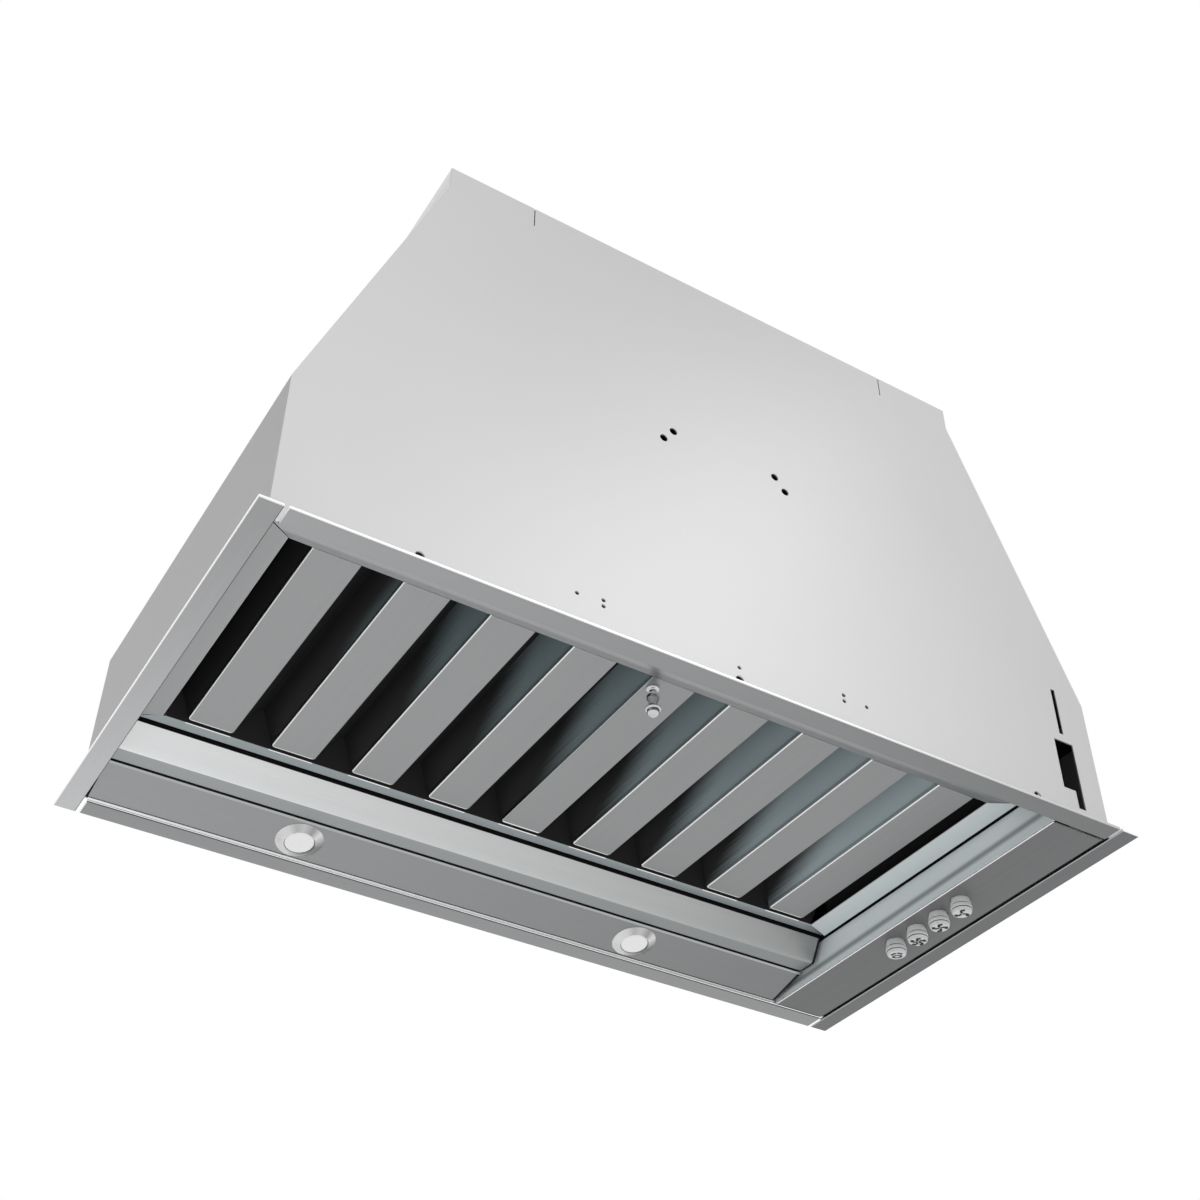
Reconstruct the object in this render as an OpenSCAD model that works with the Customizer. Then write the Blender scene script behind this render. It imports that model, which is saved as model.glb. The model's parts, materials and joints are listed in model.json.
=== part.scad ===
// Built-in range hood insert: a sheet-steel housing that is pushed up into a cabinet, with a flange
// that hides the cut-out, a hinged baffle filter, a lamp panel, four push buttons and a blower.
// X runs left to right, Y from front to back and Z up. The origin is the centre of the flange's underside.

/* [Flange] */
// Width of the flange, left to right
flange_w = 750; // [700:1:900]
// Depth of the flange, front to back
flange_d = 409.2; // [400:0.1:460]
// Thickness of the flange's hemmed edge
flange_t = 2.4; // [1.6:0.1:3.2]
// Stand-out of the flange past each end wall
end_overhang = 12.7; // [10:0.1:16]
// Stand-out of the flange past the front wall
front_overhang = 17.5; // [12:0.1:20]
// Stand-out of the flange past the back wall
back_overhang = 19.5; // [14:0.1:22]
// Width of the flange's two end strips
end_strip_w = 17.6; // [17.4:0.1:24]
// Slit between the strips at each corner
corner_slit = 2.9; // [1:0.1:5]

/* [Housing] */
// Height of the housing above the flange's underside
housing_h = 440; // [430:1:520]
// Height of the upright skirt
skirt_h = 134; // [120:1:150]
// Height of the upright band at the top
band_h = 24; // [16:1:30]
// Distance of the top band from the flange's end
top_inset = 114.5; // [80:0.5:130]
// Sheet thickness of the housing
sheet = 1.2; // [0.8:0.1:1.4]
// Radius of the cabinet screw holes
cabinet_hole_r = 3.5; // [2.5:0.1:4]
// Height of the cabinet screw holes
cabinet_hole_z = 19; // [15:0.5:24]
// Radius of the small fixing holes
small_hole_r = 1.7; // [1.2:0.1:2]

/* [Filter] */
// Height of the filter's underside above the flange's underside
filter_z = 30; // [26:0.5:34]
// Thickness of the filter
filter_h = 24; // [23:0.5:28]
// Sheet thickness of the filter's frame and baffles
filter_sheet = 1; // [0.8:0.1:1.1]
// Width of the frame along the front and the back
long_rail_w = 13.1; // [11:0.1:16]
// Width of the filter's rear rail
rear_rail_w = 9.9; // [9:0.1:14]
// Width of the frame at the two ends
short_rail_w = 22.5; // [20:0.5:26]
// Number of lower baffles
baffle_count = 9; // [7:1:10]
// Width of a lower baffle
baffle_w = 36.3; // [33:0.1:38]
// Height of the lip along a lower baffle
baffle_lip_h = 3.2; // [2.6:0.1:3.4]
// Height of the ridge of the upper baffles over the filter's underside
ridge_h = 21; // [20:0.5:22]
// Shift of the baffle row towards the right
baffle_shift = 1.6; // [0:0.1:2]
// Radius of the pins that the filter swings on
filter_hinge_r = 2; // [1.5:0.1:2.4]

/* [Lamps] */
// Distance between the two lamps
lamp_pitch = 318.5; // [200:0.5:360]
// Outer radius of a lamp's bezel
bezel_r = 19.5; // [18:0.1:20]
// Radius of a lamp's lens
lens_r = 12; // [10:0.1:13]
// Stand-out of a lamp from the panel
bezel_h = 3.5; // [2:0.1:5]
// Height of the lamp panel's front edge
lamp_front_z = 9.5; // [6:0.1:10.5]
// Height of the lamp panel's back edge
lamp_back_z = 0.4; // [0.2:0.1:2]

/* [Controls] */
// Width of the control panel
panel_w = 52.5; // [50:0.5:60]
// Distance of the buttons from the control panel's inner edge
button_inset = 18.7; // [16:0.1:24]
// Distance between neighbouring buttons
button_pitch = 28.5; // [25:0.1:32]
// Place of the button row's middle, front to back
button_mid_y = -10.2; // [-40:0.1:30]
// Radius of a button's widest ring
button_r = 9; // [8.5:0.1:10]
// Stand-out of a button under the panel
button_h = 12.6; // [11:0.1:15]
// How far a button travels
button_travel = 2.5; // [1.5:0.1:2.8]

/* [Blower] */
// Outer radius of the outlet collar, as a share of the housing's depth
collar_share = 0.20281; // [0.18:0.00001:0.205]
// Height of the outlet collar above the housing
collar_h = 45; // [40:1:60]
// Radius of the impeller, as a share of the housing's depth
impeller_share = 0.2596; // [0.24:0.0001:0.262]
// Width of the impeller
impeller_w = 192; // [160:1:194]
// Number of impeller blades
blade_count = 30; // [16:1:36]
// Radius of the motor
motor_r = 46; // [35:1:50]
// Height of the scroll over the filter's shelf
scroll_lift = 9.256; // [5:0.001:16]
// Place of the impeller's axis, front to back, as a share of the housing's depth
fan_share = 0.44321; // [0.438:0.00001:0.446]

/* [Hidden] */
$fn = 48;

// Overrun of every cut, and the running clearance of pins and shafts
cut = 1;
run_gap = 0.06;
// Clearance between pieces that are assembled side by side
fit_gap = 0.3;

// Housing planes
half_w = flange_w / 2;
half_d = flange_d / 2;
end_x = half_w - end_overhang;
top_x = half_w - top_inset;
front_y = -half_d + front_overhang;
back_y = half_d - back_overhang;
in_end_x = end_x - sheet;
in_front_y = front_y + sheet;
in_back_y = back_y - sheet;
slope_top = housing_h - band_h;
strip_x = half_w - end_strip_w;
slope_deg = atan((end_x - top_x) / (slope_top - skirt_h));
bend_shift = sheet * tan(slope_deg / 2);
ceiling_z = housing_h - sheet;
bend_r = 1.5;

// Holes of the front wall: places across and heights
cabinet_hole_left = 105.7 - end_x;
cabinet_hole_mid = 0.8;
cabinet_hole_right = end_x - 75;
fixing_x_inner = 49.6;
fixing_x_outer = 59;
fixing_z_high = housing_h - 194;
fixing_z_low = housing_h - 206;
catch_hole_mid = -8.7;
catch_hole_inner = 106;
catch_hole_outer = 127.6;
catch_hole_z = 40;
catch_hole_rise = 2.7;
stop_hole_z = 30;
window_mid_x = end_x - 32.3;
window_w = 20.1;
window_low_z = 22;
window_high_z = 86;
wire_slot_w = 4.3;
wire_slot_low_z = 93.8;
wire_slot_high_z = 139.6;
relief_x = top_x - 78.3;
relief_w = 0.9;
relief_h = 22.5;

// Control box and recess planes, left to right
panel_gap = 3.4;
panel_right_x = strip_x - panel_gap;
panel_left_x = panel_right_x - panel_w;
box_lean = 1.8;
box_wall_x = panel_left_x - box_lean;
box_h = 100;
filter_box_gap = 3.2;
filter_side_gap = 1.6;
filter_left_x = -strip_x + filter_side_gap;
filter_right_x = box_wall_x - filter_box_gap;

// Recess planes, front to back
front_shelf_w = 27.3;
rear_bead_gap = 2.8;
rear_bead_w = 3;
rear_bead_h = 8;
bead_panel_gap = 1.5;
lamp_panel_d = 41.4;
lamp_lip_gap = 2;
lip_w = 17.5;
lip_z = 10.9;
incline_d = 12.1;
filter_rear_gap = 5.9;
strip_back_y = in_back_y + bend_r;
bead_back_y = strip_back_y - rear_bead_gap;
bead_front_y = bead_back_y - rear_bead_w;
lamp_back_y = bead_front_y - bead_panel_gap;
lamp_front_y = lamp_back_y - lamp_panel_d;
lip_back_y = lamp_front_y - lamp_lip_gap;
lip_front_y = lip_back_y - lip_w;
band_front_y = lip_front_y - incline_d;
filter_rear_y = band_front_y - filter_rear_gap;
filter_front_y = in_front_y + front_shelf_w;

// Plenum frame over the filter
swing_gap = 1.5;
frame_z = filter_z + filter_h + swing_gap;
frame_lap = 12;
frame_skirt_h = 8;

// Filter frame
inner_left_x = filter_left_x + short_rail_w;
inner_right_x = filter_right_x - short_rail_w;
inner_front_y = filter_front_y + long_rail_w;
inner_rear_y = filter_rear_y - rear_rail_w;
flap_rise = ridge_h;
flap_w = filter_sheet * sqrt(2);
rail_lip_w = 9;
mitre_gap = 0.8;
hinge_inset = 6;
hinge_y = filter_rear_y - hinge_inset;
hinge_z = filter_z + hinge_inset;
pin_reach = 7;

// Baffles
baffle_pitch = (inner_right_x - inner_left_x) / baffle_count;
baffle_rear_gap = 5.1;
baffle_corner_r = 3;
baffle_lip_t = 0.8;
gable_t = 0.8;
gable_lap = 3.2;
gable_half = (baffle_pitch - baffle_w) / 2 + gable_lap;
gable_foot_z = filter_z + filter_sheet + fit_gap;
function baffle_x(i) = inner_left_x + baffle_shift + baffle_pitch * (i + 0.5);

// Knob: radii and heights of its turned shape, from the baffle down
knob_x = baffle_x(floor(baffle_count / 2)) - 11.05;
knob_y = inner_front_y + 12.1;
knob_base_r = 5;
knob_base_t = 2;
knob_neck_r = 2.6;
knob_flare_r = 5;
knob_waist_r = 2.4;
knob_ring_r = 6;
knob_ring_t = 1.6;
knob_dome_r = 4.7;
knob_tip_r = 2.5;
knob_neck_z = 24.7;
knob_flare_z = 21.8;
knob_waist_z = 14.4;
knob_ring_z = 11.6;
knob_dome_z = 7;
knob_tip_z = 4.8;
knob_stud_r = 2;
knob_nut_r = 3.5;
knob_nut_h = 3;

// Catches at the filter's front edge
catch_x = 117;
catch_w = 16;
catch_nose_r = 2;
catch_leaf_t = 0.8;
catch_plate_w = 32;
catch_gap = 0.9;
catch_z = 41;
catch_h = 15;

// Lamps
lamp_sheet = 1.2;
lamp_mid_x = (filter_left_x + filter_right_x) / 2;
lamp_tilt = atan((lamp_front_z - lamp_back_z) / lamp_panel_d);
lamp_panel_len = lamp_panel_d / cos(lamp_tilt);
lamp_shift = 1.2;
lamp_neck_r = 15;
lamp_rim_w = 1.5;
lamp_neck_h = 2.4;
lamp_body_h = 26;
lamp_body_r = 14.2;
lamp_fin_t = 2;
lamp_fin_r = 17;
lamp_fin_count = 5;
lens_t = 2;
clip_w = 7;
clip_t = 0.6;
clip_len = 9;
function lamp_x(side) = lamp_mid_x + side * lamp_pitch / 2;

// Control panel, switches and buttons
panel_sheet = 1.2;
panel_end_gap = 1.3;
panel_rail_lap = 2;
panel_hem_h = 12;
panel_tab_mid_x = panel_right_x - 26;
panel_tab_w = 15.1;
panel_tab_z = 40.8;
button_x = panel_left_x + button_inset;
button_ring_w = 0.8;
button_base_r = button_r - button_ring_w;
button_hole_gap = 0.35;
button_head_z = 2.8;
button_face_r = 6.4;
// Heights of the button's rings, as shares of its stand-out, from the face up
button_ring_shares = [0.76, 0.7, 0.5, 0.46, 0.42, 0.3, 0.26];
button_ring_radii = [button_base_r, button_r, button_r, button_base_r, button_r, button_r, button_base_r];
stem_r = 2.6;
stem_top_z = 12;
stem_bore_top_z = 15;
switch_w = 18;
switch_z = 6;
switch_h = 11;
board_t = 1.6;
board_w = 32;
board_margin = 14;
panel_post_r = 3;
panel_post_x = button_r + panel_post_r + fit_gap;
switch_bar_half = 2;
function button_y(i) = button_mid_y + (1.5 - i) * button_pitch;

// Scroll: a spiral that starts at the tongue and ends in an upright outlet
scroll_sheet = 1;
scroll_half = 105;
tongue_deg = 84;
room_d = in_back_y - in_front_y;
impeller_r = impeller_share * room_d;
tongue_r = impeller_r * 7 / 6;
scroll_end_r = impeller_r * 41 / 24;
function spiral_r_at(deg) = tongue_r + (scroll_end_r - tongue_r) * (deg - tongue_deg) / (360 - tongue_deg);
spiral_steps = 23;
fan_y = in_front_y + fan_share * room_d;
fan_z = frame_z + sheet + scroll_lift + scroll_sheet + spiral_r_at(270);
tongue_y = fan_y + tongue_r * cos(tongue_deg);
tongue_z = fan_z + tongue_r * sin(tongue_deg);
scroll_back_y = fan_y + scroll_end_r;
inlet_r = impeller_r * 5 / 6;
function spiral_deg(i) = tongue_deg + (360 - tongue_deg) * i / spiral_steps;
function spiral_r(i) = spiral_r_at(spiral_deg(i));
function spiral_pt(i, out) = [fan_y + (spiral_r(i) + out) * cos(spiral_deg(i)),
    fan_z + (spiral_r(i) + out) * sin(spiral_deg(i))];

// Outlet collar and damper
collar_r = collar_share * room_d;
collar_t = 1;
collar_lip_w = 12;
collar_screw_r = 2;
collar_head_r = 3.6;
collar_head_h = 2;
screw_len = 6;
collar_y = (tongue_y + scroll_back_y) / 2;
damper_pin_r = 1.5;
damper_pin_x = 4;
damper_z = housing_h + 15;
damper_wall_gap = 2;
damper_t = 1;
damper_sleeve_t = 1;
damper_sleeve_half = 40;

// Impeller and motor
ring_w = 14;
ring_t = 3;
blade_t = 1.2;
blade_lean = 28;
disc_t = 3;
disc_reach = 0.4;
hub_r = 14;
hub_half = 12;
shaft_r = 5;
shaft_in = 34;
motor_gap = 14;
motor_end_x = -(hub_half + motor_gap);
motor_back_x = -scroll_half - scroll_sheet;
motor_rim_t = 4;
motor_rim_inset = 12;
shaft_tail = 6;
spider_t = 1.6;
spider_hub_r = 34;
spider_arm_w = 14;
spider_reach = 6;
spider_arms = 3;
spider_screw_r = 1.5;
spider_head_r = 3;
spider_head_h = 1.5;

// Blower brackets
bracket_w = 60;
bracket_h = 40;
bracket_t = 2;
bracket_z = fan_z;
bracket_screw_r = 2;
bracket_head_r = 4;
bracket_head_h = 2.4;
scroll_front_y = fan_y - spiral_r_at(180);

// Electrical pieces
cap_r = 18;
cap_l = 60;
cap_z = ceiling_z - 58.8;
driver_w = 40;
driver_d = 90;
driver_h = 26;
driver_x = box_wall_x + sheet + filter_box_gap;
driver_y = in_back_y - driver_d - 13.9;
grommet_x = 90.5 - top_x;
grommet_y = in_front_y + 65.9;
grommet_r = 8;
grommet_bore_r = 4.5;
grommet_lip = 2.5;
grommet_lip_t = 2;

// A box given by its low and high corner
module span(low, high) translate(low) cube(high - low);

// A profile in X and Z, drawn through from y0 to y1
module along_y(y0, y1) translate([0, y1, 0]) rotate([90, 0, 0]) linear_extrude(y1 - y0) children();

// A profile in Y and Z, drawn through from x0 to x1
module along_x(x0, x1) translate([x0, 0, 0]) rotate([90, 0, 90]) linear_extrude(x1 - x0) children();

// A round hole or pin along Y, centred at x and z
module rod_y(x, z, r, y0, y1) translate([x, y1, z]) rotate([90, 0, 0]) cylinder(r = r, h = y1 - y0);

// A round hole or pin along X, centred at y and z
module rod_x(y, z, r, x0, x1) translate([x0, y, z]) rotate([0, 90, 0]) cylinder(r = r, h = x1 - x0);

module wall_outline() polygon([[-end_x, flange_t], [end_x, flange_t], [end_x, skirt_h], [top_x, slope_top],
    [top_x, housing_h], [-top_x, housing_h], [-top_x, slope_top], [-end_x, skirt_h]]);

// One long wall with its flange strip, which bends outwards at the wall's foot
module long_wall(y_low, y_high, inner, outer) {
    way = sign(outer);
    along_y(y_low, y_high) wall_outline();
    along_x(-strip_x + corner_slit, strip_x - corner_slit) polygon([[outer, 0], [outer, flange_t],
        [inner, flange_t], [inner, bend_r], [inner + way * bend_r, 0]]);
}

module cabinet_holes(y0, y1) for (x = [cabinet_hole_left, cabinet_hole_mid, cabinet_hole_right])
    rod_y(x, cabinet_hole_z, cabinet_hole_r, y0, y1);

// Three small fixing holes of one filter catch
module catch_holes(side, y0, y1) {
    rod_y(catch_hole_mid + side * catch_hole_outer, catch_hole_z, small_hole_r, y0, y1);
    for (rise = [-1, 1]) rod_y(catch_hole_mid + side * catch_hole_inner,
        catch_hole_z + rise * catch_hole_rise, small_hole_r, y0, y1);
}

module front_wall() color("gainsboro") difference() {
    long_wall(front_y, in_front_y, in_front_y, -half_d);
    cabinet_holes(front_y - cut, in_front_y + cut);
    for (side = [-1, 1]) {
        rod_y(side * fixing_x_inner, fixing_z_high, cabinet_hole_r, front_y - cut, in_front_y + cut);
        rod_y(side * fixing_x_outer, fixing_z_low, cabinet_hole_r, front_y - cut, in_front_y + cut);
        catch_holes(side, front_y - cut, in_front_y + cut);
        span([side * relief_x - relief_w / 2, front_y - cut, housing_h - relief_h],
            [side * relief_x + relief_w / 2, in_front_y + cut, housing_h + cut]);
    }
    rod_y(cabinet_hole_mid, stop_hole_z, small_hole_r, front_y - cut, in_front_y + cut);
    span([window_mid_x - window_w / 2, front_y - cut, window_low_z],
        [window_mid_x + window_w / 2, in_front_y + cut, window_high_z]);
    span([window_mid_x - wire_slot_w / 2, front_y - cut, wire_slot_low_z],
        [window_mid_x + wire_slot_w / 2, in_front_y + cut, wire_slot_high_z]);
}

module back_wall() color("gainsboro") difference() {
    long_wall(in_back_y, back_y, in_back_y, half_d);
    cabinet_holes(in_back_y - cut, back_y + cut);
    bracket_screw_rods(bracket_screw_r);
}

// One end wall with its flange strip, for the right-hand end
module end_wall() {
    along_y(in_front_y, in_back_y) polygon([[end_x, flange_t], [end_x, skirt_h], [top_x, slope_top],
        [top_x, housing_h], [top_x - sheet, housing_h], [top_x - sheet, slope_top - bend_shift],
        [in_end_x, skirt_h - bend_shift], [in_end_x, flange_t]]);
    span([strip_x, -half_d, 0], [half_w, half_d, flange_t]);
}

module left_end_wall() color("silver") mirror([1, 0, 0]) end_wall();

module right_end_wall() color("silver") end_wall();

module top_plate() color("gainsboro") difference() {
    span([-top_x + sheet, in_front_y, ceiling_z], [top_x - sheet, in_back_y, housing_h]);
    translate([0, collar_y, ceiling_z - cut]) cylinder(r = collar_r - collar_t, h = sheet + 2 * cut);
    translate([grommet_x, grommet_y, ceiling_z - cut]) cylinder(r = grommet_r, h = sheet + 2 * cut);
    collar_screw_places() cylinder(r = collar_screw_r, h = sheet + 2 * cut);
}

// Puts a piece at each of the collar's four screws, its foot under the top plate
module collar_screw_places() for (a = [45 : 90 : 315])
    translate([0, collar_y, ceiling_z - cut]) rotate(a) translate([collar_r + collar_lip_w / 2, 0, 0])
        children();

module outlet_collar() color("silver") difference() {
    translate([0, collar_y, housing_h]) rotate_extrude() {
        translate([collar_r - collar_t, 0]) square([collar_t, collar_h]);
        translate([collar_r - collar_t, 0]) square([collar_t + collar_lip_w, collar_t]);
    }
    collar_screw_places() cylinder(r = collar_screw_r, h = sheet + collar_t + 2 * cut);
    for (side = [-1, 1]) rod_y(side * damper_pin_x, damper_z, damper_pin_r, collar_y - collar_r - cut,
        collar_y + collar_r + cut);
}

module collar_screws() color("dimgray") collar_screw_places() {
    translate([0, 0, cut + sheet + collar_t]) cylinder(r = collar_head_r, h = collar_head_h);
    translate([0, 0, cut + sheet + collar_t - screw_len])
        cylinder(r = collar_screw_r - run_gap, h = screw_len);
}

module damper_pins() color("dimgray") for (side = [-1, 1])
    rod_y(side * damper_pin_x, damper_z, damper_pin_r, collar_y - collar_r + fit_gap,
        collar_y + collar_r - fit_gap);

// Half-round damper flap on the right of its pin, carried by two rolled sleeves
module damper_flap() difference() {
    union() {
        intersection() {
            translate([0, collar_y, damper_z - damper_t / 2])
                cylinder(r = collar_r - collar_t - damper_wall_gap, h = damper_t);
            span([damper_pin_x, collar_y - collar_r, damper_z - damper_t],
                [collar_r, collar_y + collar_r, damper_z + damper_t]);
        }
        rod_y(damper_pin_x, damper_z, damper_pin_r + run_gap + damper_sleeve_t,
            collar_y - damper_sleeve_half, collar_y + damper_sleeve_half);
    }
    rod_y(damper_pin_x, damper_z, damper_pin_r + run_gap, collar_y - collar_r, collar_y + collar_r);
}

module damper_flap_right() color("silver") damper_flap();

module damper_flap_left() color("silver") mirror([1, 0, 0]) damper_flap();

// Shelf over the filter: it closes the recess and leaves the filter's mouth open
module plenum_frame() color("silver") difference() {
    span([-in_end_x, in_front_y, frame_z], [box_wall_x - fit_gap, in_back_y, frame_z + sheet]);
    span([filter_left_x + frame_lap, filter_front_y + frame_lap, frame_z - cut],
        [filter_right_x - frame_lap, filter_rear_y - frame_lap, frame_z + sheet + cut]);
}

// Folded trim behind the filter: an upright leg, a bright inclined face and a flat lip
module rear_band() color("gainsboro") along_x(filter_left_x, filter_right_x)
    polygon([[band_front_y, frame_z], [band_front_y, filter_z], [lip_front_y, lip_z], [lip_back_y, lip_z],
        [lip_back_y, lip_z + sheet], [lip_front_y + sheet / 2, lip_z + sheet],
        [band_front_y + sheet, filter_z + sheet / 2], [band_front_y + sheet, frame_z]]);

// Puts a piece on the sloping lamp panel's face: X along it, Y up its slope, Z into the housing
module on_lamp_panel(x, shift = lamp_shift) translate([x, lamp_front_y, lamp_front_z])
    rotate([-lamp_tilt, 0, 0]) translate([0, lamp_panel_len / 2 + shift, 0]) children();

module lamp_panel() color("darkgray") difference() {
    union() {
        on_lamp_panel(0, 0) span([filter_left_x, -lamp_panel_len / 2, 0],
            [filter_right_x, lamp_panel_len / 2, lamp_sheet]);
        span([filter_left_x, lamp_front_y, lamp_front_z],
            [filter_right_x, lamp_front_y + lamp_sheet, frame_z]);
    }
    for (side = [-1, 1]) on_lamp_panel(lamp_x(side)) translate([0, 0, -cut])
        cylinder(r = lamp_neck_r + fit_gap, h = lamp_sheet + 2 * cut);
}

// Rail along the back of the recess, hung from the plenum frame, with a folded hem at its foot
module rear_rail() color("white") {
    span([filter_left_x, bead_front_y, 0], [filter_right_x, bead_back_y, rear_bead_h]);
    span([filter_left_x, bead_back_y - sheet, 0], [filter_right_x, bead_back_y, frame_z]);
}

module lamp_bezel(side) on_lamp_panel(lamp_x(side)) rotate_extrude() polygon([[lens_r + fit_gap, -bezel_h],
    [lens_r + lamp_rim_w, -bezel_h], [bezel_r, 0], [lamp_neck_r, 0], [lamp_neck_r, lamp_neck_h],
    [lens_r + fit_gap, lamp_neck_h]]);

module lamp_bezel_left() color("white") lamp_bezel(-1);

module lamp_bezel_right() color("white") lamp_bezel(1);

module lamp_lens(side) on_lamp_panel(lamp_x(side)) translate([0, 0, -bezel_h + fit_gap])
    cylinder(r = lens_r, h = lens_t);

module lamp_lens_left() color("snow") lamp_lens(-1);

module lamp_lens_right() color("snow") lamp_lens(1);

// Finned body of a lamp, seated on its bezel's neck
module lamp_body(side) on_lamp_panel(lamp_x(side)) translate([0, 0, lamp_neck_h]) {
    cylinder(r = lamp_body_r, h = lamp_body_h);
    for (i = [0 : lamp_fin_count - 1]) translate([0, 0, lamp_body_h * (i + 0.5) / lamp_fin_count])
        cylinder(r = lamp_fin_r, h = lamp_fin_t);
}

module lamp_bodies() color("dimgray") {
    lamp_body(-1);
    lamp_body(1);
}

// Two spring leaves a lamp, from its neck out over the panel
module lamp_clips() color("silver") for (side = [-1, 1], way = [-1, 1]) on_lamp_panel(lamp_x(side))
    span([min(way * lamp_neck_r, way * (lamp_neck_r + clip_len)), -clip_w / 2, lamp_sheet],
        [max(way * lamp_neck_r, way * (lamp_neck_r + clip_len)), clip_w / 2, lamp_sheet + clip_t]);

module control_panel() color("dimgray") difference() {
    union() {
        span([panel_left_x, in_front_y + panel_end_gap, 0],
            [panel_right_x, bead_front_y + panel_rail_lap, panel_sheet]);
        span([panel_right_x - panel_sheet, in_front_y + panel_end_gap, 0],
            [panel_right_x, bead_front_y, panel_hem_h]);
        span([panel_tab_mid_x - panel_tab_w / 2, in_front_y + panel_end_gap, 0],
            [panel_tab_mid_x + panel_tab_w / 2, in_front_y + panel_end_gap + panel_sheet, panel_tab_z]);
    }
    for (i = [0 : 3]) translate([button_x, button_y(i), -cut])
        cylinder(r = button_base_r + button_hole_gap, h = panel_sheet + 2 * cut);
}

// Wall and lid between the filter's recess and the switches
module control_box() color("silver") along_y(in_front_y + fit_gap, in_back_y - fit_gap)
    polygon([[panel_left_x, panel_sheet], [box_wall_x, filter_z], [box_wall_x, box_h],
        [in_end_x - fit_gap, box_h], [in_end_x - fit_gap, box_h - sheet],
        [box_wall_x + sheet, box_h - sheet], [box_wall_x + sheet, filter_z],
        [panel_left_x + sheet, panel_sheet]]);

// Four switch bodies on two posts each, that stand on the panel
module switch_bank() color("dimgray") for (i = [0 : 3]) translate([button_x, button_y(i), 0])
    difference() {
        union() {
            span([-switch_w / 2, -switch_w / 2, switch_z],
                [switch_w / 2, switch_w / 2, switch_z + switch_h]);
            for (way = [-1, 1]) translate([way * panel_post_x, 0, panel_sheet])
                cylinder(r = panel_post_r, h = switch_z + switch_h - panel_sheet);
            span([-panel_post_x, -switch_bar_half, switch_z + switch_h / 2],
                [panel_post_x, switch_bar_half, switch_z + switch_h]);
        }
        translate([0, 0, switch_z - cut])
            cylinder(r = stem_r + run_gap, h = stem_bore_top_z - switch_z + cut);
    }

module switch_board() color("darkgreen") span(
    [button_x - board_w / 2, button_y(3) - board_margin, switch_z + switch_h],
    [button_x + board_w / 2, button_y(0) + board_margin, switch_z + switch_h + board_t]);

// Turned push button: stepped rings under the panel, a head behind it and a stem in its switch
module button(i) translate([button_x, button_y(i), 0]) rotate_extrude() polygon(concat(
    [[0, -button_h], [button_face_r, -button_h]],
    [for (k = [0 : len(button_ring_radii) - 1]) [button_ring_radii[k], -button_h * button_ring_shares[k]]],
    [[button_base_r, button_head_z], [stem_r, button_head_z], [stem_r, stem_top_z], [0, stem_top_z]]));

module light_button() color("whitesmoke") button(0);

module high_button() color("whitesmoke") button(1);

module medium_button() color("whitesmoke") button(2);

module low_button() color("whitesmoke") button(3);

// Section of a long rail of the filter: foot, outer wall, top lip and the sloping flap of the inner edge
module rail_section(outer, inner, dir) {
    top = filter_z + filter_h;
    polygon([[inner, filter_z], [outer, filter_z], [outer, filter_z + filter_sheet],
        [inner, filter_z + filter_sheet]]);
    polygon([[outer, filter_z], [outer, top], [outer - dir * filter_sheet, top],
        [outer - dir * filter_sheet, filter_z]]);
    polygon([[outer, top - filter_sheet], [outer, top], [outer - dir * rail_lip_w, top],
        [outer - dir * rail_lip_w, top - filter_sheet]]);
    polygon([[inner, filter_z], [inner + dir * flap_w, filter_z],
        [inner + dir * flap_w - dir * flap_rise, filter_z + flap_rise],
        [inner - dir * flap_rise, filter_z + flap_rise]]);
}

// Plan of the frame's mitred corners: a long rail's trapezium, grown or shrunk by g
module long_plan(outer, inner, g) linear_extrude(frame_z) polygon([[filter_left_x + g, outer],
    [filter_right_x - g, outer], [inner_right_x - g, inner], [inner_right_x - g, 0], [inner_left_x + g, 0],
    [inner_left_x + g, inner]]);

module filter_front_rail() color("darkgray") intersection() {
    along_x(filter_left_x, filter_right_x) rail_section(filter_front_y, inner_front_y, -1);
    long_plan(filter_front_y - cut, inner_front_y, mitre_gap);
}

module filter_rear_rail() color("darkgray") intersection() {
    along_x(filter_left_x, filter_right_x) rail_section(filter_rear_y, inner_rear_y, 1);
    long_plan(filter_rear_y + cut, inner_rear_y, mitre_gap);
}

// End rail of the filter: foot, outer wall with the hinge bore, top lip, cut to the mitres
module end_rail(outer, inner, dir) difference() {
    intersection() {
        along_y(filter_front_y, filter_rear_y) {
            polygon([[inner, filter_z], [outer, filter_z], [outer, filter_z + filter_sheet],
                [inner, filter_z + filter_sheet]]);
            polygon([[outer, filter_z], [outer, filter_z + filter_h],
                [outer - dir * filter_sheet, filter_z + filter_h], [outer - dir * filter_sheet, filter_z]]);
            polygon([[outer, filter_z + filter_h - filter_sheet], [outer, filter_z + filter_h],
                [outer - dir * rail_lip_w, filter_z + filter_h],
                [outer - dir * rail_lip_w, filter_z + filter_h - filter_sheet]]);
        }
        linear_extrude(frame_z) polygon([[outer, filter_front_y], [outer, filter_rear_y],
            [inner, inner_rear_y], [inner, inner_front_y]]);
    }
    rod_x(hinge_y, hinge_z, filter_hinge_r + run_gap, outer - 2 * filter_sheet, outer + 2 * filter_sheet);
}

module filter_left_rail() color("darkgray") end_rail(filter_left_x, inner_left_x, -1);

module filter_right_rail() color("darkgray") end_rail(filter_right_x, inner_right_x, 1);

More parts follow.
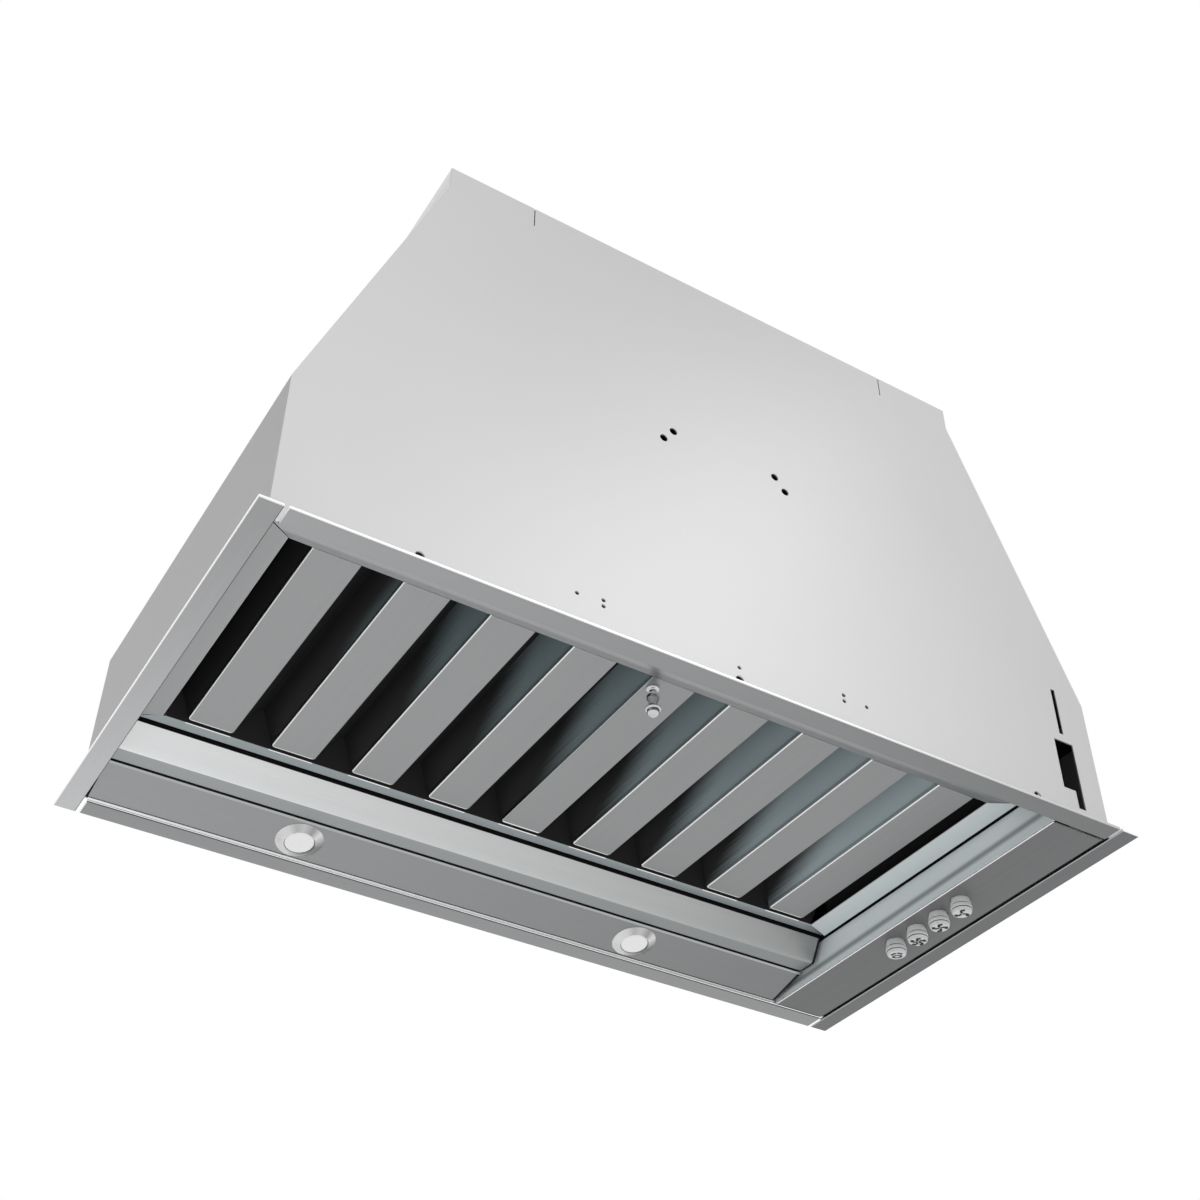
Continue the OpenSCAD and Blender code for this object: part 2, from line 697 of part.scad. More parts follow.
// Lower baffle: a flat plate with round rear corners and an upturned lip along each side
module lower_baffle(i) {
    x = baffle_x(i);
    y0 = inner_front_y + fit_gap;
    y1 = inner_rear_y - baffle_rear_gap;
    difference() {
        union() {
            translate([0, 0, filter_z]) linear_extrude(filter_sheet) {
                translate([x - baffle_w / 2, y0]) square([baffle_w, y1 - y0 - baffle_corner_r]);
                translate([x - baffle_w / 2 + baffle_corner_r, y0])
                    square([baffle_w - 2 * baffle_corner_r, y1 - y0]);
                for (side = [-1, 1]) translate([x + side * (baffle_w / 2 - baffle_corner_r),
                    y1 - baffle_corner_r]) circle(r = baffle_corner_r);
            }
            for (side = [-1, 1]) {
                lip_x = x + side * (baffle_w - baffle_lip_t) / 2;
                span([lip_x - baffle_lip_t / 2, y0, filter_z],
                    [lip_x + baffle_lip_t / 2, y1 - baffle_corner_r, filter_z + baffle_lip_h]);
            }
        }
        along_x(x - baffle_w, x + baffle_w) polygon([[y0 - cut, filter_z - cut],
            [y0 + baffle_lip_h + cut, filter_z + baffle_lip_h + cut],
            [y0 - cut, filter_z + baffle_lip_h + cut]]);
        translate([knob_x, knob_y, filter_z - cut])
            cylinder(r = knob_stud_r + run_gap, h = filter_sheet + 2 * cut);
    }
}

module lower_baffle_1() color("darkgray") lower_baffle(0);

module lower_baffle_2() color("darkgray") lower_baffle(1);

module lower_baffle_3() color("darkgray") lower_baffle(2);

module lower_baffle_4() color("darkgray") lower_baffle(3);

module lower_baffle_5() color("darkgray") lower_baffle(4);

module lower_baffle_6() color("darkgray") lower_baffle(5);

module lower_baffle_7() color("darkgray") lower_baffle(6);

module lower_baffle_8() color("darkgray") lower_baffle(7);

module lower_baffle_9() color("darkgray") lower_baffle(8);

// Upper baffles: gables over the openings, cut to the flaps at both ends
module upper_baffles() color("dimgray") intersection() {
    union() for (i = [0 : baffle_count]) {
        x = baffle_x(i - 0.5);
        along_y(inner_front_y, inner_rear_y) polygon([[x - gable_half, gable_foot_z],
            [x, filter_z + ridge_h - gable_t], [x + gable_half, gable_foot_z],
            [x + gable_half, gable_foot_z + gable_t], [x, filter_z + ridge_h],
            [x - gable_half, gable_foot_z + gable_t]]);
    }
    along_x(filter_left_x, filter_right_x) polygon([[inner_front_y + fit_gap, filter_z],
        [inner_rear_y - fit_gap, filter_z], [inner_rear_y - fit_gap - flap_rise, filter_z + flap_rise],
        [inner_front_y + fit_gap + flap_rise, filter_z + flap_rise]]);
}

module pull_knob() color("silver") translate([knob_x, knob_y, 0]) rotate_extrude() polygon([
    [0, knob_tip_z], [knob_tip_r, knob_tip_z], [knob_dome_r, knob_dome_z],
    [knob_dome_r, knob_ring_z - knob_ring_t], [knob_ring_r, knob_ring_z - knob_ring_t],
    [knob_ring_r, knob_ring_z], [knob_waist_r, knob_ring_z],
    [knob_waist_r, knob_waist_z], [knob_flare_r, knob_flare_z], [knob_neck_r, knob_neck_z],
    [knob_neck_r, filter_z - knob_base_t], [knob_base_r, filter_z - knob_base_t], [knob_base_r, filter_z],
    [knob_stud_r, filter_z], [knob_stud_r, filter_z + filter_sheet + knob_nut_h],
    [0, filter_z + filter_sheet + knob_nut_h]]);

module knob_nut() color("dimgray") translate([knob_x, knob_y, filter_z + filter_sheet]) difference() {
    cylinder(r = knob_nut_r, h = knob_nut_h, $fn = 6);
    translate([0, 0, -cut]) cylinder(r = knob_stud_r, h = knob_nut_h + 2 * cut);
}

// Two pins that carry the filter's rear corners, one on the end wall and one on the control box
module hinge_pins() color("dimgray") {
    rod_x(hinge_y, hinge_z, filter_hinge_r, -in_end_x, filter_left_x + pin_reach);
    rod_x(hinge_y, hinge_z, filter_hinge_r, filter_right_x - pin_reach, box_wall_x);
}

// Two spring catches on the front wall, each a drilled plate, a leaf and a rounded nose
module filter_catches() color("silver") for (side = [-1, 1]) {
    x = catch_hole_mid + side * catch_x;
    nose_y = filter_front_y - catch_gap - catch_nose_r;
    difference() {
        span([x - catch_plate_w / 2, in_front_y, catch_z - catch_h / 2],
            [x + catch_plate_w / 2, in_front_y + catch_leaf_t, catch_z + catch_h / 2]);
        catch_holes(side, in_front_y - cut, in_front_y + catch_leaf_t + cut);
    }
    span([x - catch_w / 2, in_front_y, catch_z - catch_leaf_t / 2],
        [x + catch_w / 2, nose_y, catch_z + catch_leaf_t / 2]);
    rod_x(nose_y, catch_z, catch_nose_r, x - catch_w / 2, x + catch_w / 2);
}

// Flow side or outer side of the scroll's sheet, from the tongue's top round to the back wall's top
function scroll_path(out) = concat([[tongue_y - out, ceiling_z], [tongue_y - out, tongue_z + out]],
    [for (i = [1 : spiral_steps]) spiral_pt(i, out)], [[scroll_back_y + out, ceiling_z]]);

module blower_scroll() color("lightgray") along_x(-scroll_half, scroll_half) polygon(concat(scroll_path(0),
    [for (p = [len(scroll_path(0)) - 1 : -1 : 0]) scroll_path(scroll_sheet)[p]]));

module scroll_side(x0) along_x(x0, x0 + scroll_sheet) difference() {
    polygon(scroll_path(scroll_sheet));
    translate([fan_y, fan_z]) circle(r = inlet_r);
}

module scroll_side_left() color("lightgray") difference() {
    scroll_side(-scroll_half - scroll_sheet);
    spider_screw_places() cylinder(r = spider_screw_r, h = scroll_sheet + 2 * cut);
}

module scroll_side_right() color("lightgray") scroll_side(scroll_half);

// Folded brackets from the scroll to the front and back walls
module bracket(y0, y1) {
    for (z = [bracket_z - bracket_h / 2, bracket_z + bracket_h / 2 - bracket_t])
        span([-bracket_w / 2, y0, z], [bracket_w / 2, y1, z + bracket_t]);
}

module blower_brackets() color("gray") difference() {
    union() {
        bracket(in_front_y, scroll_front_y - scroll_sheet - fit_gap);
        span([-bracket_w / 2, in_front_y, bracket_z - bracket_h / 2],
            [bracket_w / 2, in_front_y + bracket_t, bracket_z + bracket_h / 2]);
        bracket(scroll_back_y + scroll_sheet, in_back_y);
        span([-bracket_w / 2, in_back_y - bracket_t, bracket_z - bracket_h / 2],
            [bracket_w / 2, in_back_y, bracket_z + bracket_h / 2]);
    }
    bracket_screw_rods(bracket_screw_r);
}

module bracket_screw_rods(r) for (side = [-1, 1]) rod_y(side * bracket_w / 4, bracket_z, r,
    in_back_y - bracket_t - cut, back_y + cut);

module bracket_screws() color("dimgray") {
    bracket_screw_rods(bracket_screw_r - run_gap);
    for (side = [-1, 1]) rod_y(side * bracket_w / 4, bracket_z, bracket_head_r,
        in_back_y - bracket_t - bracket_head_h, in_back_y - bracket_t);
}

// Motor: a round can with a rim at its open end and a bore for the shaft
module motor_body() color("gray") difference() {
    union() {
        rod_x(fan_y, fan_z, motor_r, motor_back_x, motor_end_x);
        rod_x(fan_y, fan_z, motor_r + motor_rim_t, motor_back_x + motor_rim_inset,
            motor_back_x + motor_rim_inset + motor_rim_t);
    }
    rod_x(fan_y, fan_z, shaft_r + run_gap, motor_end_x - shaft_in - cut, motor_end_x + cut);
}

// Puts a piece at the outer end of each spider arm, its axis along X from inside the side plate
module spider_screw_places() for (i = [0 : spider_arms - 1])
    translate([motor_back_x - cut, fan_y, fan_z]) rotate([90 + 360 * i / spider_arms, 0, 0])
        translate([0, inlet_r + spider_reach, 0]) rotate([0, 90, 0]) children();

module motor_spider() color("dimgray") difference() {
    union() {
        rod_x(fan_y, fan_z, spider_hub_r, motor_back_x - spider_t, motor_back_x);
        for (i = [0 : spider_arms - 1]) translate([motor_back_x - spider_t, fan_y, fan_z])
            rotate([90 + 360 * i / spider_arms, 0, 0])
                span([0, 0, -spider_arm_w / 2], [spider_t, inlet_r + 2 * spider_reach, spider_arm_w / 2]);
    }
    translate([-spider_t, 0, 0]) spider_screw_places() cylinder(r = spider_screw_r, h = spider_t + 2 * cut);
}

module spider_screws() color("dimgray") spider_screw_places() {
    translate([0, 0, cut - spider_t - spider_head_h]) cylinder(r = spider_head_r, h = spider_head_h);
    translate([0, 0, cut - spider_t])
        cylinder(r = spider_screw_r - run_gap, h = spider_t + scroll_sheet + cut);
}

// Leaned blades of the drum impeller, held between its end rings
module impeller_blades() color("gainsboro") for (i = [0 : blade_count - 1])
    translate([ring_t - impeller_w / 2, fan_y, fan_z]) rotate([360 * i / blade_count, 0, 0])
        translate([0, impeller_r - ring_w / 2, 0]) rotate([blade_lean, 0, 0])
            span([0, -ring_w / 2, -blade_t / 2], [impeller_w - 2 * ring_t, ring_w / 2, blade_t / 2]);

// The impeller's two end rings and the middle disc inside its blades
module impeller_frame() color("silver") {
    for (x = [-impeller_w / 2, impeller_w / 2 - ring_t]) difference() {
        rod_x(fan_y, fan_z, impeller_r, x, x + ring_t);
        rod_x(fan_y, fan_z, impeller_r - ring_w, x - cut, x + ring_t + cut);
    }
    difference() {
        rod_x(fan_y, fan_z, impeller_r - ring_w + disc_reach, -disc_t / 2, disc_t / 2);
        rod_x(fan_y, fan_z, hub_r + run_gap, -disc_t, disc_t);
    }
}

module impeller_shaft() color("dimgray") {
    rod_x(fan_y, fan_z, hub_r, -hub_half, hub_half);
    rod_x(fan_y, fan_z, shaft_r, motor_end_x - shaft_in, hub_half + shaft_tail);
}

module capacitor() color("black") rod_x(collar_y, cap_z, cap_r, scroll_half + scroll_sheet,
    scroll_half + scroll_sheet + cap_l);

module lamp_driver() color("white") span([driver_x, driver_y, box_h - sheet - driver_h],
    [driver_x + driver_w, driver_y + driver_d, box_h - sheet]);

// Rubber ring in the top plate, a lip on each of the plate's faces
module cable_grommet() color("black") translate([grommet_x, grommet_y, ceiling_z]) rotate_extrude() {
    translate([grommet_bore_r, -grommet_lip_t])
        square([grommet_r - grommet_bore_r, sheet + 2 * grommet_lip_t]);
    for (z = [-grommet_lip_t, sheet]) translate([grommet_bore_r, z])
        square([grommet_r + grommet_lip - grommet_bore_r, grommet_lip_t]);
}

front_wall();
back_wall();
left_end_wall();
right_end_wall();
top_plate();
outlet_collar();
collar_screws();
damper_pins();
damper_flap_left();
damper_flap_right();
plenum_frame();
rear_band();
lamp_panel();
rear_rail();
control_panel();
control_box();
switch_bank();
switch_board();
light_button();
high_button();
medium_button();
low_button();
lamp_bezel_left();
lamp_bezel_right();
lamp_lens_left();
lamp_lens_right();
lamp_bodies();
lamp_clips();
filter_front_rail();
filter_rear_rail();
filter_left_rail();
filter_right_rail();
lower_baffle_1();
lower_baffle_2();
lower_baffle_3();
lower_baffle_4();
lower_baffle_5();
lower_baffle_6();
lower_baffle_7();
lower_baffle_8();
lower_baffle_9();
upper_baffles();
pull_knob();
knob_nut();
hinge_pins();
filter_catches();
blower_scroll();
scroll_side_left();
scroll_side_right();
blower_brackets();
bracket_screws();
motor_body();
motor_spider();
spider_screws();
impeller_blades();
impeller_frame();
impeller_shaft();
capacitor();
lamp_driver();
cable_grommet();
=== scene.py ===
import json
import math

import bmesh
import bpy
from mathutils import Matrix, Vector


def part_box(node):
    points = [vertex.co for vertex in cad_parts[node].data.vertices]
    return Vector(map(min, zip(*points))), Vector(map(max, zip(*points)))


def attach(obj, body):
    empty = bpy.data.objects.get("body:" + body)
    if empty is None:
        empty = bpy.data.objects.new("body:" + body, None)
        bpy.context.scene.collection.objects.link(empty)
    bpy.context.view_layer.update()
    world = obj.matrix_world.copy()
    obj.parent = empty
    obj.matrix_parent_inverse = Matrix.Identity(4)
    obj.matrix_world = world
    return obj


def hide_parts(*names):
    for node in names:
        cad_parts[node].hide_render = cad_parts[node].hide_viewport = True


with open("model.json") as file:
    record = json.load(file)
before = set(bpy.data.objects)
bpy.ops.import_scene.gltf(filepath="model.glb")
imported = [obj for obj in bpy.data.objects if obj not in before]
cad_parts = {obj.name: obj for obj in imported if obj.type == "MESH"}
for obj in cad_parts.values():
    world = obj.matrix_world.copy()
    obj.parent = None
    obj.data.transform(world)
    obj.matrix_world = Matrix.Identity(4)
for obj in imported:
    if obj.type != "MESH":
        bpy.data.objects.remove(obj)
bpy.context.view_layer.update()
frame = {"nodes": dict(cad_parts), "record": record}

bl_info = {
    "name": "Range hood insert",
    "version": (1, 0, 0),
    "blender": (4, 5, 0),
    "location": "3D View > Sidebar > Hood",
    "description": "Finishes and fine pieces of a built-in range hood insert, on its packed frame",
    "category": "Object",
}

SENSOR_WIDTH = 36.0
MM = 0.001
BAFFLES = 9

# Borders of the areas of painted light and shade, in millimetres: X and Y from the flange's centre, and
# heights over it
OUTER_EDGE = (372.0, 202.0)
STRIP_CORNER = (340.0, 180.0)
INNER_EDGE = (350.0, 165.0)
RECESS = (358.0, 190.0)
UPPER_WALL_Z = 380.0
SHELF_Z = 30.5
RAIL_TOP_Z = 12.0
BAND_SHADOW = 2.2
PANEL_SHADOW = 2.8
BLADE_RIM = 1.6

# Patterns: lengths of the painted fades of light in metres, brush lines against their pitch, waves a metre,
# and the painted shine of spun metal
FADE_SPAN = {"X": 0.72, "Y": 0.38}
BRUSH_LENGTH = 90
STREAK_WIDTH = 7
FINE_GRAIN = 700.0
LONG_GRAIN = (900.0, 8.0, 900.0)
SPUN_PAINTED_SHINE = ((0.0, 1.05), (0.10, 0.95), (0.16, 0.66), (0.22, 0.8), (0.30, 0.48), (0.37, 1.05),
             (0.44, 0.6), (0.50, 0.28), (0.58, 0.30), (0.68, 0.5), (0.80, 0.85), (1.0, 1.05))

# Meshes: lengths in millimetres, angles in degrees and the cosine down to which faces shade as one
MERGED = 0.002
FLAT_ANGLE = 0.6
SHARP_ANGLE = 22
SHADED_AS_ONE = 0.64

SLOT_OF = {part["node"]: part["material_slot"] for part in frame["record"]["subparts"]}
BODY_OF = {node: body for body, nodes in frame["record"]["behaviour"]["bodies"].items() for node in nodes}


# Node trees

def maths(operation):
    """A method that adds a Math node of that operation."""
    return lambda *values: values[0]._math(operation, *values)


class Number:
    """A number socket of a node tree. Python's operators on it add Math nodes.

    rest is what is left over a whole number, and angle_from the turn from the other number's axis."""

    def __init__(self, graph, socket):
        self.graph = graph
        self.socket = socket

    def _math(self, operation, *values):
        node = self.graph.add("ShaderNodeMath", dict(enumerate(values)), operation=operation)
        return Number(self.graph, node.outputs[0])

    __add__ = maths("ADD")
    __sub__ = maths("SUBTRACT")
    __mul__ = maths("MULTIPLY")
    __truediv__ = maths("DIVIDE")
    __abs__ = maths("ABSOLUTE")
    highest = maths("MAXIMUM")
    rest = maths("FRACT")
    angle_from = maths("ARCTAN2")

    def __rsub__(self, other):
        return self._math("SUBTRACT", other, self)

    def smooth(self, start, end):
        """0 before start and 1 after end, with a soft step between them."""
        node = self.graph.add("ShaderNodeMapRange", {"Value": self, "From Min": start, "From Max": end},
                              interpolation_type="SMOOTHSTEP")
        return Number(self.graph, node.outputs[0])

    def step(self, place):
        """0 before a place in metres and 1 behind it, with a border of a fifth of a millimetre."""
        return self.smooth(place - 0.1 * MM, place + 0.1 * MM)


class Graph:
    """One node tree."""

    def __init__(self, tree):
        self.tree = tree
        tree.nodes.clear()

    def add(self, kind, inputs=None, **settings):
        """A new node. inputs go into its sockets, by name or number, and settings are its properties."""
        node = self.tree.nodes.new(kind)
        for key, value in settings.items():
            setattr(node, key, value)
        for key, value in (inputs or {}).items():
            if isinstance(value, Number):
                value = value.socket
            if isinstance(value, bpy.types.NodeSocket):
                self.tree.links.new(value, node.inputs[key])
            else:
                node.inputs[key].default_value = value
        return node

    def number(self, node, output=0):
        return Number(self, node.outputs[output])

    def place(self):
        """The place on the piece, in metres."""
        return self.add("ShaderNodeTexCoord").outputs["Object"]

    def axes(self):
        """The place's X, Y and Z."""
        split = self.add("ShaderNodeSeparateXYZ", {"Vector": self.place()})
        return [self.number(split, i) for i in range(3)]

    def noise(self, waves, detail=2.0, roughness=0.5, shift=(0, 0, 0)):
        """Noise with that many waves a metre, one number for all axes or one for each."""
        stretch = (waves,) * 3 if isinstance(waves, float) else waves
        spread = self.add("ShaderNodeMapping", {"Vector": self.place(), "Scale": stretch, "Location": shift})
        return self.number(self.add("ShaderNodeTexNoise", {
            "Vector": spread.outputs[0], "Scale": 1.0, "Detail": detail, "Roughness": roughness}))

    def ramp(self, value, stops):
        """A colour that runs through stops, each a place from 0 to 1 and its colour."""
        node = self.add("ShaderNodeValToRGB", {0: value})
        elements = node.color_ramp.elements
        while len(elements) < len(stops):
            elements.new(1.0)
        for element, (place, colour) in zip(elements, stops):
            element.position = place
            element.color = colour
        return node.outputs[0]

    def blend(self, factor, first, second):
        """Mix of two colours."""
        return self.add("ShaderNodeMix", {0: factor, 6: first, 7: second}, data_type="RGBA").outputs[2]

    def tones(self, value, colour, dark, light, low=0.3):
        """A colour times dark where value is under low, and times light where it is as near to 1."""
        return self.blend(value.smooth(low, 1 - low), shade(colour, dark), shade(colour, light))

    def faded(self, reach, value, colour, fade, tone, low=0.3):
        """Tones round the first of fade where reach is 0, and round the second where it is 1."""
        return self.blend(reach, *(self.tones(value, colour, end - tone, end + tone, low) for end in fade))

    def surface(self, colour, roughness, metallic=0.0, grain=None, depth=0.0, others=None):
        """The shader of a material. depth is that of its grain, in millimetres."""
        inputs = {"Base Color": colour, "Roughness": roughness, "Metallic": metallic}
        if grain is not None:
            inputs["Normal"] = self.add("ShaderNodeBump", {
                "Height": grain, "Distance": depth * MM, "Strength": 1.0}).outputs[0]
        shader = self.add("ShaderNodeBsdfPrincipled", {**inputs, **(others or {})})
        self.add("ShaderNodeOutputMaterial", {"Surface": shader.outputs[0]})


def shade(colour, factor):
    """A colour made lighter or darker, with its alpha."""
    return tuple(min(1.0, part * factor) for part in colour[:3]) + (1.0,)


# Kinds of finish

def finish_kind(draw):
    """Lets a finish be named with its values now and drawn in a graph later."""
    return lambda *values, **options: lambda graph: draw(graph, *values, **options)


@finish_kind
def brushed_steel(graph, colour, roughness, metallic, along, line=0.8, tone=0.04, depth=0.004,
                  fade=(1.0, 1.0), fade_along="X", rim=None, end=None):
    """Sheet steel with fine brush lines along one axis. line is their pitch in millimetres.

    fade scales the colour at the two ends of the object, left and right or front and back, as a painted
    gradient of light.
    rim is a place along Y behind which the sheet is folded and gets a painted highlight, and end one
    along X behind which it gets the painted shadow of its neighbour."""
    across = 1 / (line * MM)
    waves = [across / BRUSH_LENGTH if axis == along else across for axis in "XYZ"]
    lines = graph.noise(waves, detail=3.0, roughness=0.65)
    streaks = graph.noise([part / STREAK_WIDTH for part in waves], shift=(3.1, 1.7, 0.4))
    patches = graph.noise(5.0)
    grain = lines * 0.6 + streaks * 0.4
    axes = dict(zip("XYZ", graph.axes()))
    sheet = graph.faded(axes[fade_along] / FADE_SPAN[fade_along] + 0.5, grain, colour, fade, tone, 0.25)
    if rim:
        sheet = graph.blend(axes["Y"].step(rim), sheet, shade(colours().edge, 1.0))
    if end:
        sheet = graph.blend(axes["X"].step(end), sheet, shade(colours().inner, 1.0))
    graph.surface(sheet, (grain - 0.5) * 0.16 + (patches - 0.5) * 0.05 + roughness, metallic, grain, depth)


@finish_kind
def painted_reflection_steel(graph, dark, left, right):
    """Bright steel over the openings with a painted reflection: dark where it mirrors the inside, with a
    soft border, and painted shade left of the first blade.
    """
    left_end, width, foot = -0.3, 0.54, 0.036
    x, y, z = graph.axes()
    lines = graph.noise(LONG_GRAIN, detail=3.0)
    # Painted reflection: dark where border is high, where the inside is mirrored
    border = y - x * 0.25 + 0.015 + (z - foot) * 5.0 + (lines - 0.5) * 0.03
    along = (x - left_end) / width
    lit = (1 - border.smooth(-0.03, 0.06)) * x.smooth(-0.255, -0.245)
    steel = graph.blend(along * along, left, right)
    graph.surface(graph.blend(lit, dark, steel), (lines - 0.5) * 0.1 + 0.4,
                  others={"Specular IOR Level": 0.1})


@finish_kind
def polished_wall(graph, colour):
    """Polished steel with a painted reflection: the soft dark line that it mirrors along its foot."""
    foot, rise, half_width = 0.0102, 0.013, 0.0045
    _, y, z = graph.axes()
    lines = graph.noise(LONG_GRAIN, detail=3.0)
    # Painted reflection: darker within half_width of a line along the foot
    away = abs(z + y * rise - foot + (lines - 0.5) * 0.0006)
    graph.surface(graph.blend(away.smooth(0.0, half_width), shade(colour, 0.4), colour),
                  (lines - 0.5) * 0.06 + 0.3, 0.0, lines, 0.0006)


@finish_kind
def spun_metal(graph, colour, centre):
    """Spun metal with its shine painted in: lighter and darker rays run out from an upright axis through
    centre.
    """
    x, y, _ = graph.axes()
    turn = (y - centre.y).angle_from(x - centre.x) / math.tau + 0.5
    marks = graph.noise(2500.0)
    graph.surface(graph.ramp(turn, [(share, shade(colour, tone)) for share, tone in SPUN_PAINTED_SHINE]),
                  (marks - 0.5) * 0.1 + 0.26, 0.85, marks, 0.002)


@finish_kind
def gleam_steel(graph, plain, bright):
    """Edge of the rear rail, with a painted highlight where a blade ends over it."""
    first, last = centre_of("lower_baffle_1").x, centre_of(f"lower_baffle_{BAFFLES}").x
    pitch = (last - first) / (BAFFLES - 1)
    low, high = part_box("lower_baffle_1")
    half = (high[0] - low[0]) / pitch / 2
    x = graph.axes()[0]
    away = abs(((x - first) / pitch + 0.5).rest() - 0.5)
    grain = graph.noise(FINE_GRAIN, detail=1.0)
    graph.surface(graph.blend(away.smooth(half - 0.01, half + 0.01), bright, plain),
                  (grain - 0.5) * 0.04 + 0.28, 1.0)


@finish_kind
def end_metal(graph, inner, edge):
    """Painted shade, with a painted highlight where the strip reaches past the flange's front and rear
    strips.
    """
    past = abs(graph.axes()[1]).smooth(0.188, 0.190)
    grain = graph.noise(FINE_GRAIN, detail=1.0)
    graph.surface(graph.blend(past, inner, edge), (grain - 0.5) * 0.04 + 0.4, past)


@finish_kind
def satin_steel(graph, colour, roughness, metallic, tone=0.015, shine=0.5, fade=(1.0, 1.0)):
    """Smooth mill-finished sheet: almost even, with a faint cloudiness and a very fine grain.

    fade scales the colour at the lower left and at the upper right of the object, as a painted gradient of
    light."""
    patches = graph.noise(3.2, detail=3.0)
    grain = graph.noise(FINE_GRAIN, detail=1.0)
    x, _, z = graph.axes()
    graph.surface(graph.faded(x / FADE_SPAN["X"] + z + 0.4, patches, colour, fade, tone),
                  (patches - 0.5) * 0.05 + (grain - 0.5) * 0.04 + roughness, metallic, grain, 0.002,
                  {"Specular IOR Level": shine})


@finish_kind
def galvanised_steel(graph, colour, roughness, metallic):
    """Zinc coating with its spangle: flat crystals of slightly different tone."""
    crystals = graph.add("ShaderNodeTexVoronoi", {"Vector": graph.place(), "Scale": 110.0})
    tint = graph.number(graph.add("ShaderNodeSeparateColor", {"Color": crystals.outputs["Color"]}))
    graph.surface(graph.blend(tint, shade(colour, 0.84), shade(colour, 1.12)),
                  (tint - 0.5) * 0.12 + roughness, metallic, tint, 0.003)


@finish_kind
def moulding(graph, colour, roughness, pebble=0.4, depth=0.01, sheen=0.0):
    """Moulded plastic or rubber: a fine pebbled grain of that size in millimetres, a little uneven."""
    pebbles = graph.noise(1 / (pebble * MM))
    patches = graph.noise(60.0)
    graph.surface(graph.tones(patches, colour, 0.97, 1.03),
                  (pebbles - 0.5) * 0.08 + (patches - 0.5) * 0.05 + roughness, 0.0, pebbles, depth,
                  {"Sheen Weight": sheen})


@finish_kind
def enamel(graph, colour, roughness):
    """Sprayed paint with a faint orange peel."""
    ripple = graph.noise(420.0, detail=1.0)
    patches = graph.noise(25.0)
    graph.surface(graph.tones(patches, colour, 0.97, 1.02), (patches - 0.5) * 0.06 + roughness,
                  0.0, ripple, 0.01, {"Coat Weight": 0.3})


@finish_kind
def turned_metal(graph, colour, roughness, metallic):
    """Machined metal with rings of tool marks round an upright axis."""
    height = graph.axes()[2]
    marks = graph.number(graph.add("ShaderNodeTexNoise", {
        "W": height * 2600.0, "Scale": 1.0, "Detail": 2.0}, noise_dimensions="1D"))
    spots = graph.noise(300.0, detail=1.0)
    graph.surface(graph.tones(marks, colour, 0.94, 1.04),
                  (marks - 0.5) * 0.12 + (spots - 0.5) * 0.04 + roughness, metallic, marks, 0.003)


@finish_kind
def cast_metal(graph, colour, roughness):
    """Cast metal with a coarse skin."""
    skin = graph.noise(800.0, detail=3.0)
    graph.surface(graph.tones(skin, colour, 0.92, 1.05), (skin - 0.5) * 0.2 + roughness, 0.9, skin, 0.03)


@finish_kind
def frosted_lens(graph, colour):
    """White frosted lens: milky, with a prismatic grain under a smooth face."""
    cells = graph.noise(900.0, detail=1.0)
    graph.surface(graph.tones(cells, colour, 0.97, 1.03), (cells - 0.5) * 0.1 + 0.32, 0.0, cells, 0.004,
                  {"Coat Weight": 0.5})


@finish_kind
def circuit_board(graph, colour):
    """Board with its copper tracks under the green lacquer."""
    tracks = graph.number(graph.add("ShaderNodeTexBrick", {
        "Vector": graph.place(), "Scale": 160.0, "Mortar Size": 0.012, "Color1": (0, 0, 0, 1),
        "Color2": (0, 0, 0, 1), "Mortar": (1, 1, 1, 1)}), 1)
    graph.surface(graph.blend(tracks, colour, shade(colour, 2.2)), tracks * 0.1 + 0.35, 0.0, tracks, 0.02)


@finish_kind
def floor_paint(graph, colour):
    """Matt floor, very slightly speckled."""
    graph.surface(graph.tones(graph.noise(40.0), colour, 0.99, 1.01), 0.75)


# Colours, in linear values, and finishes of the material slots

def titled(key):
    """A property's name in the panel."""
    return key.replace("_", " ").capitalize()


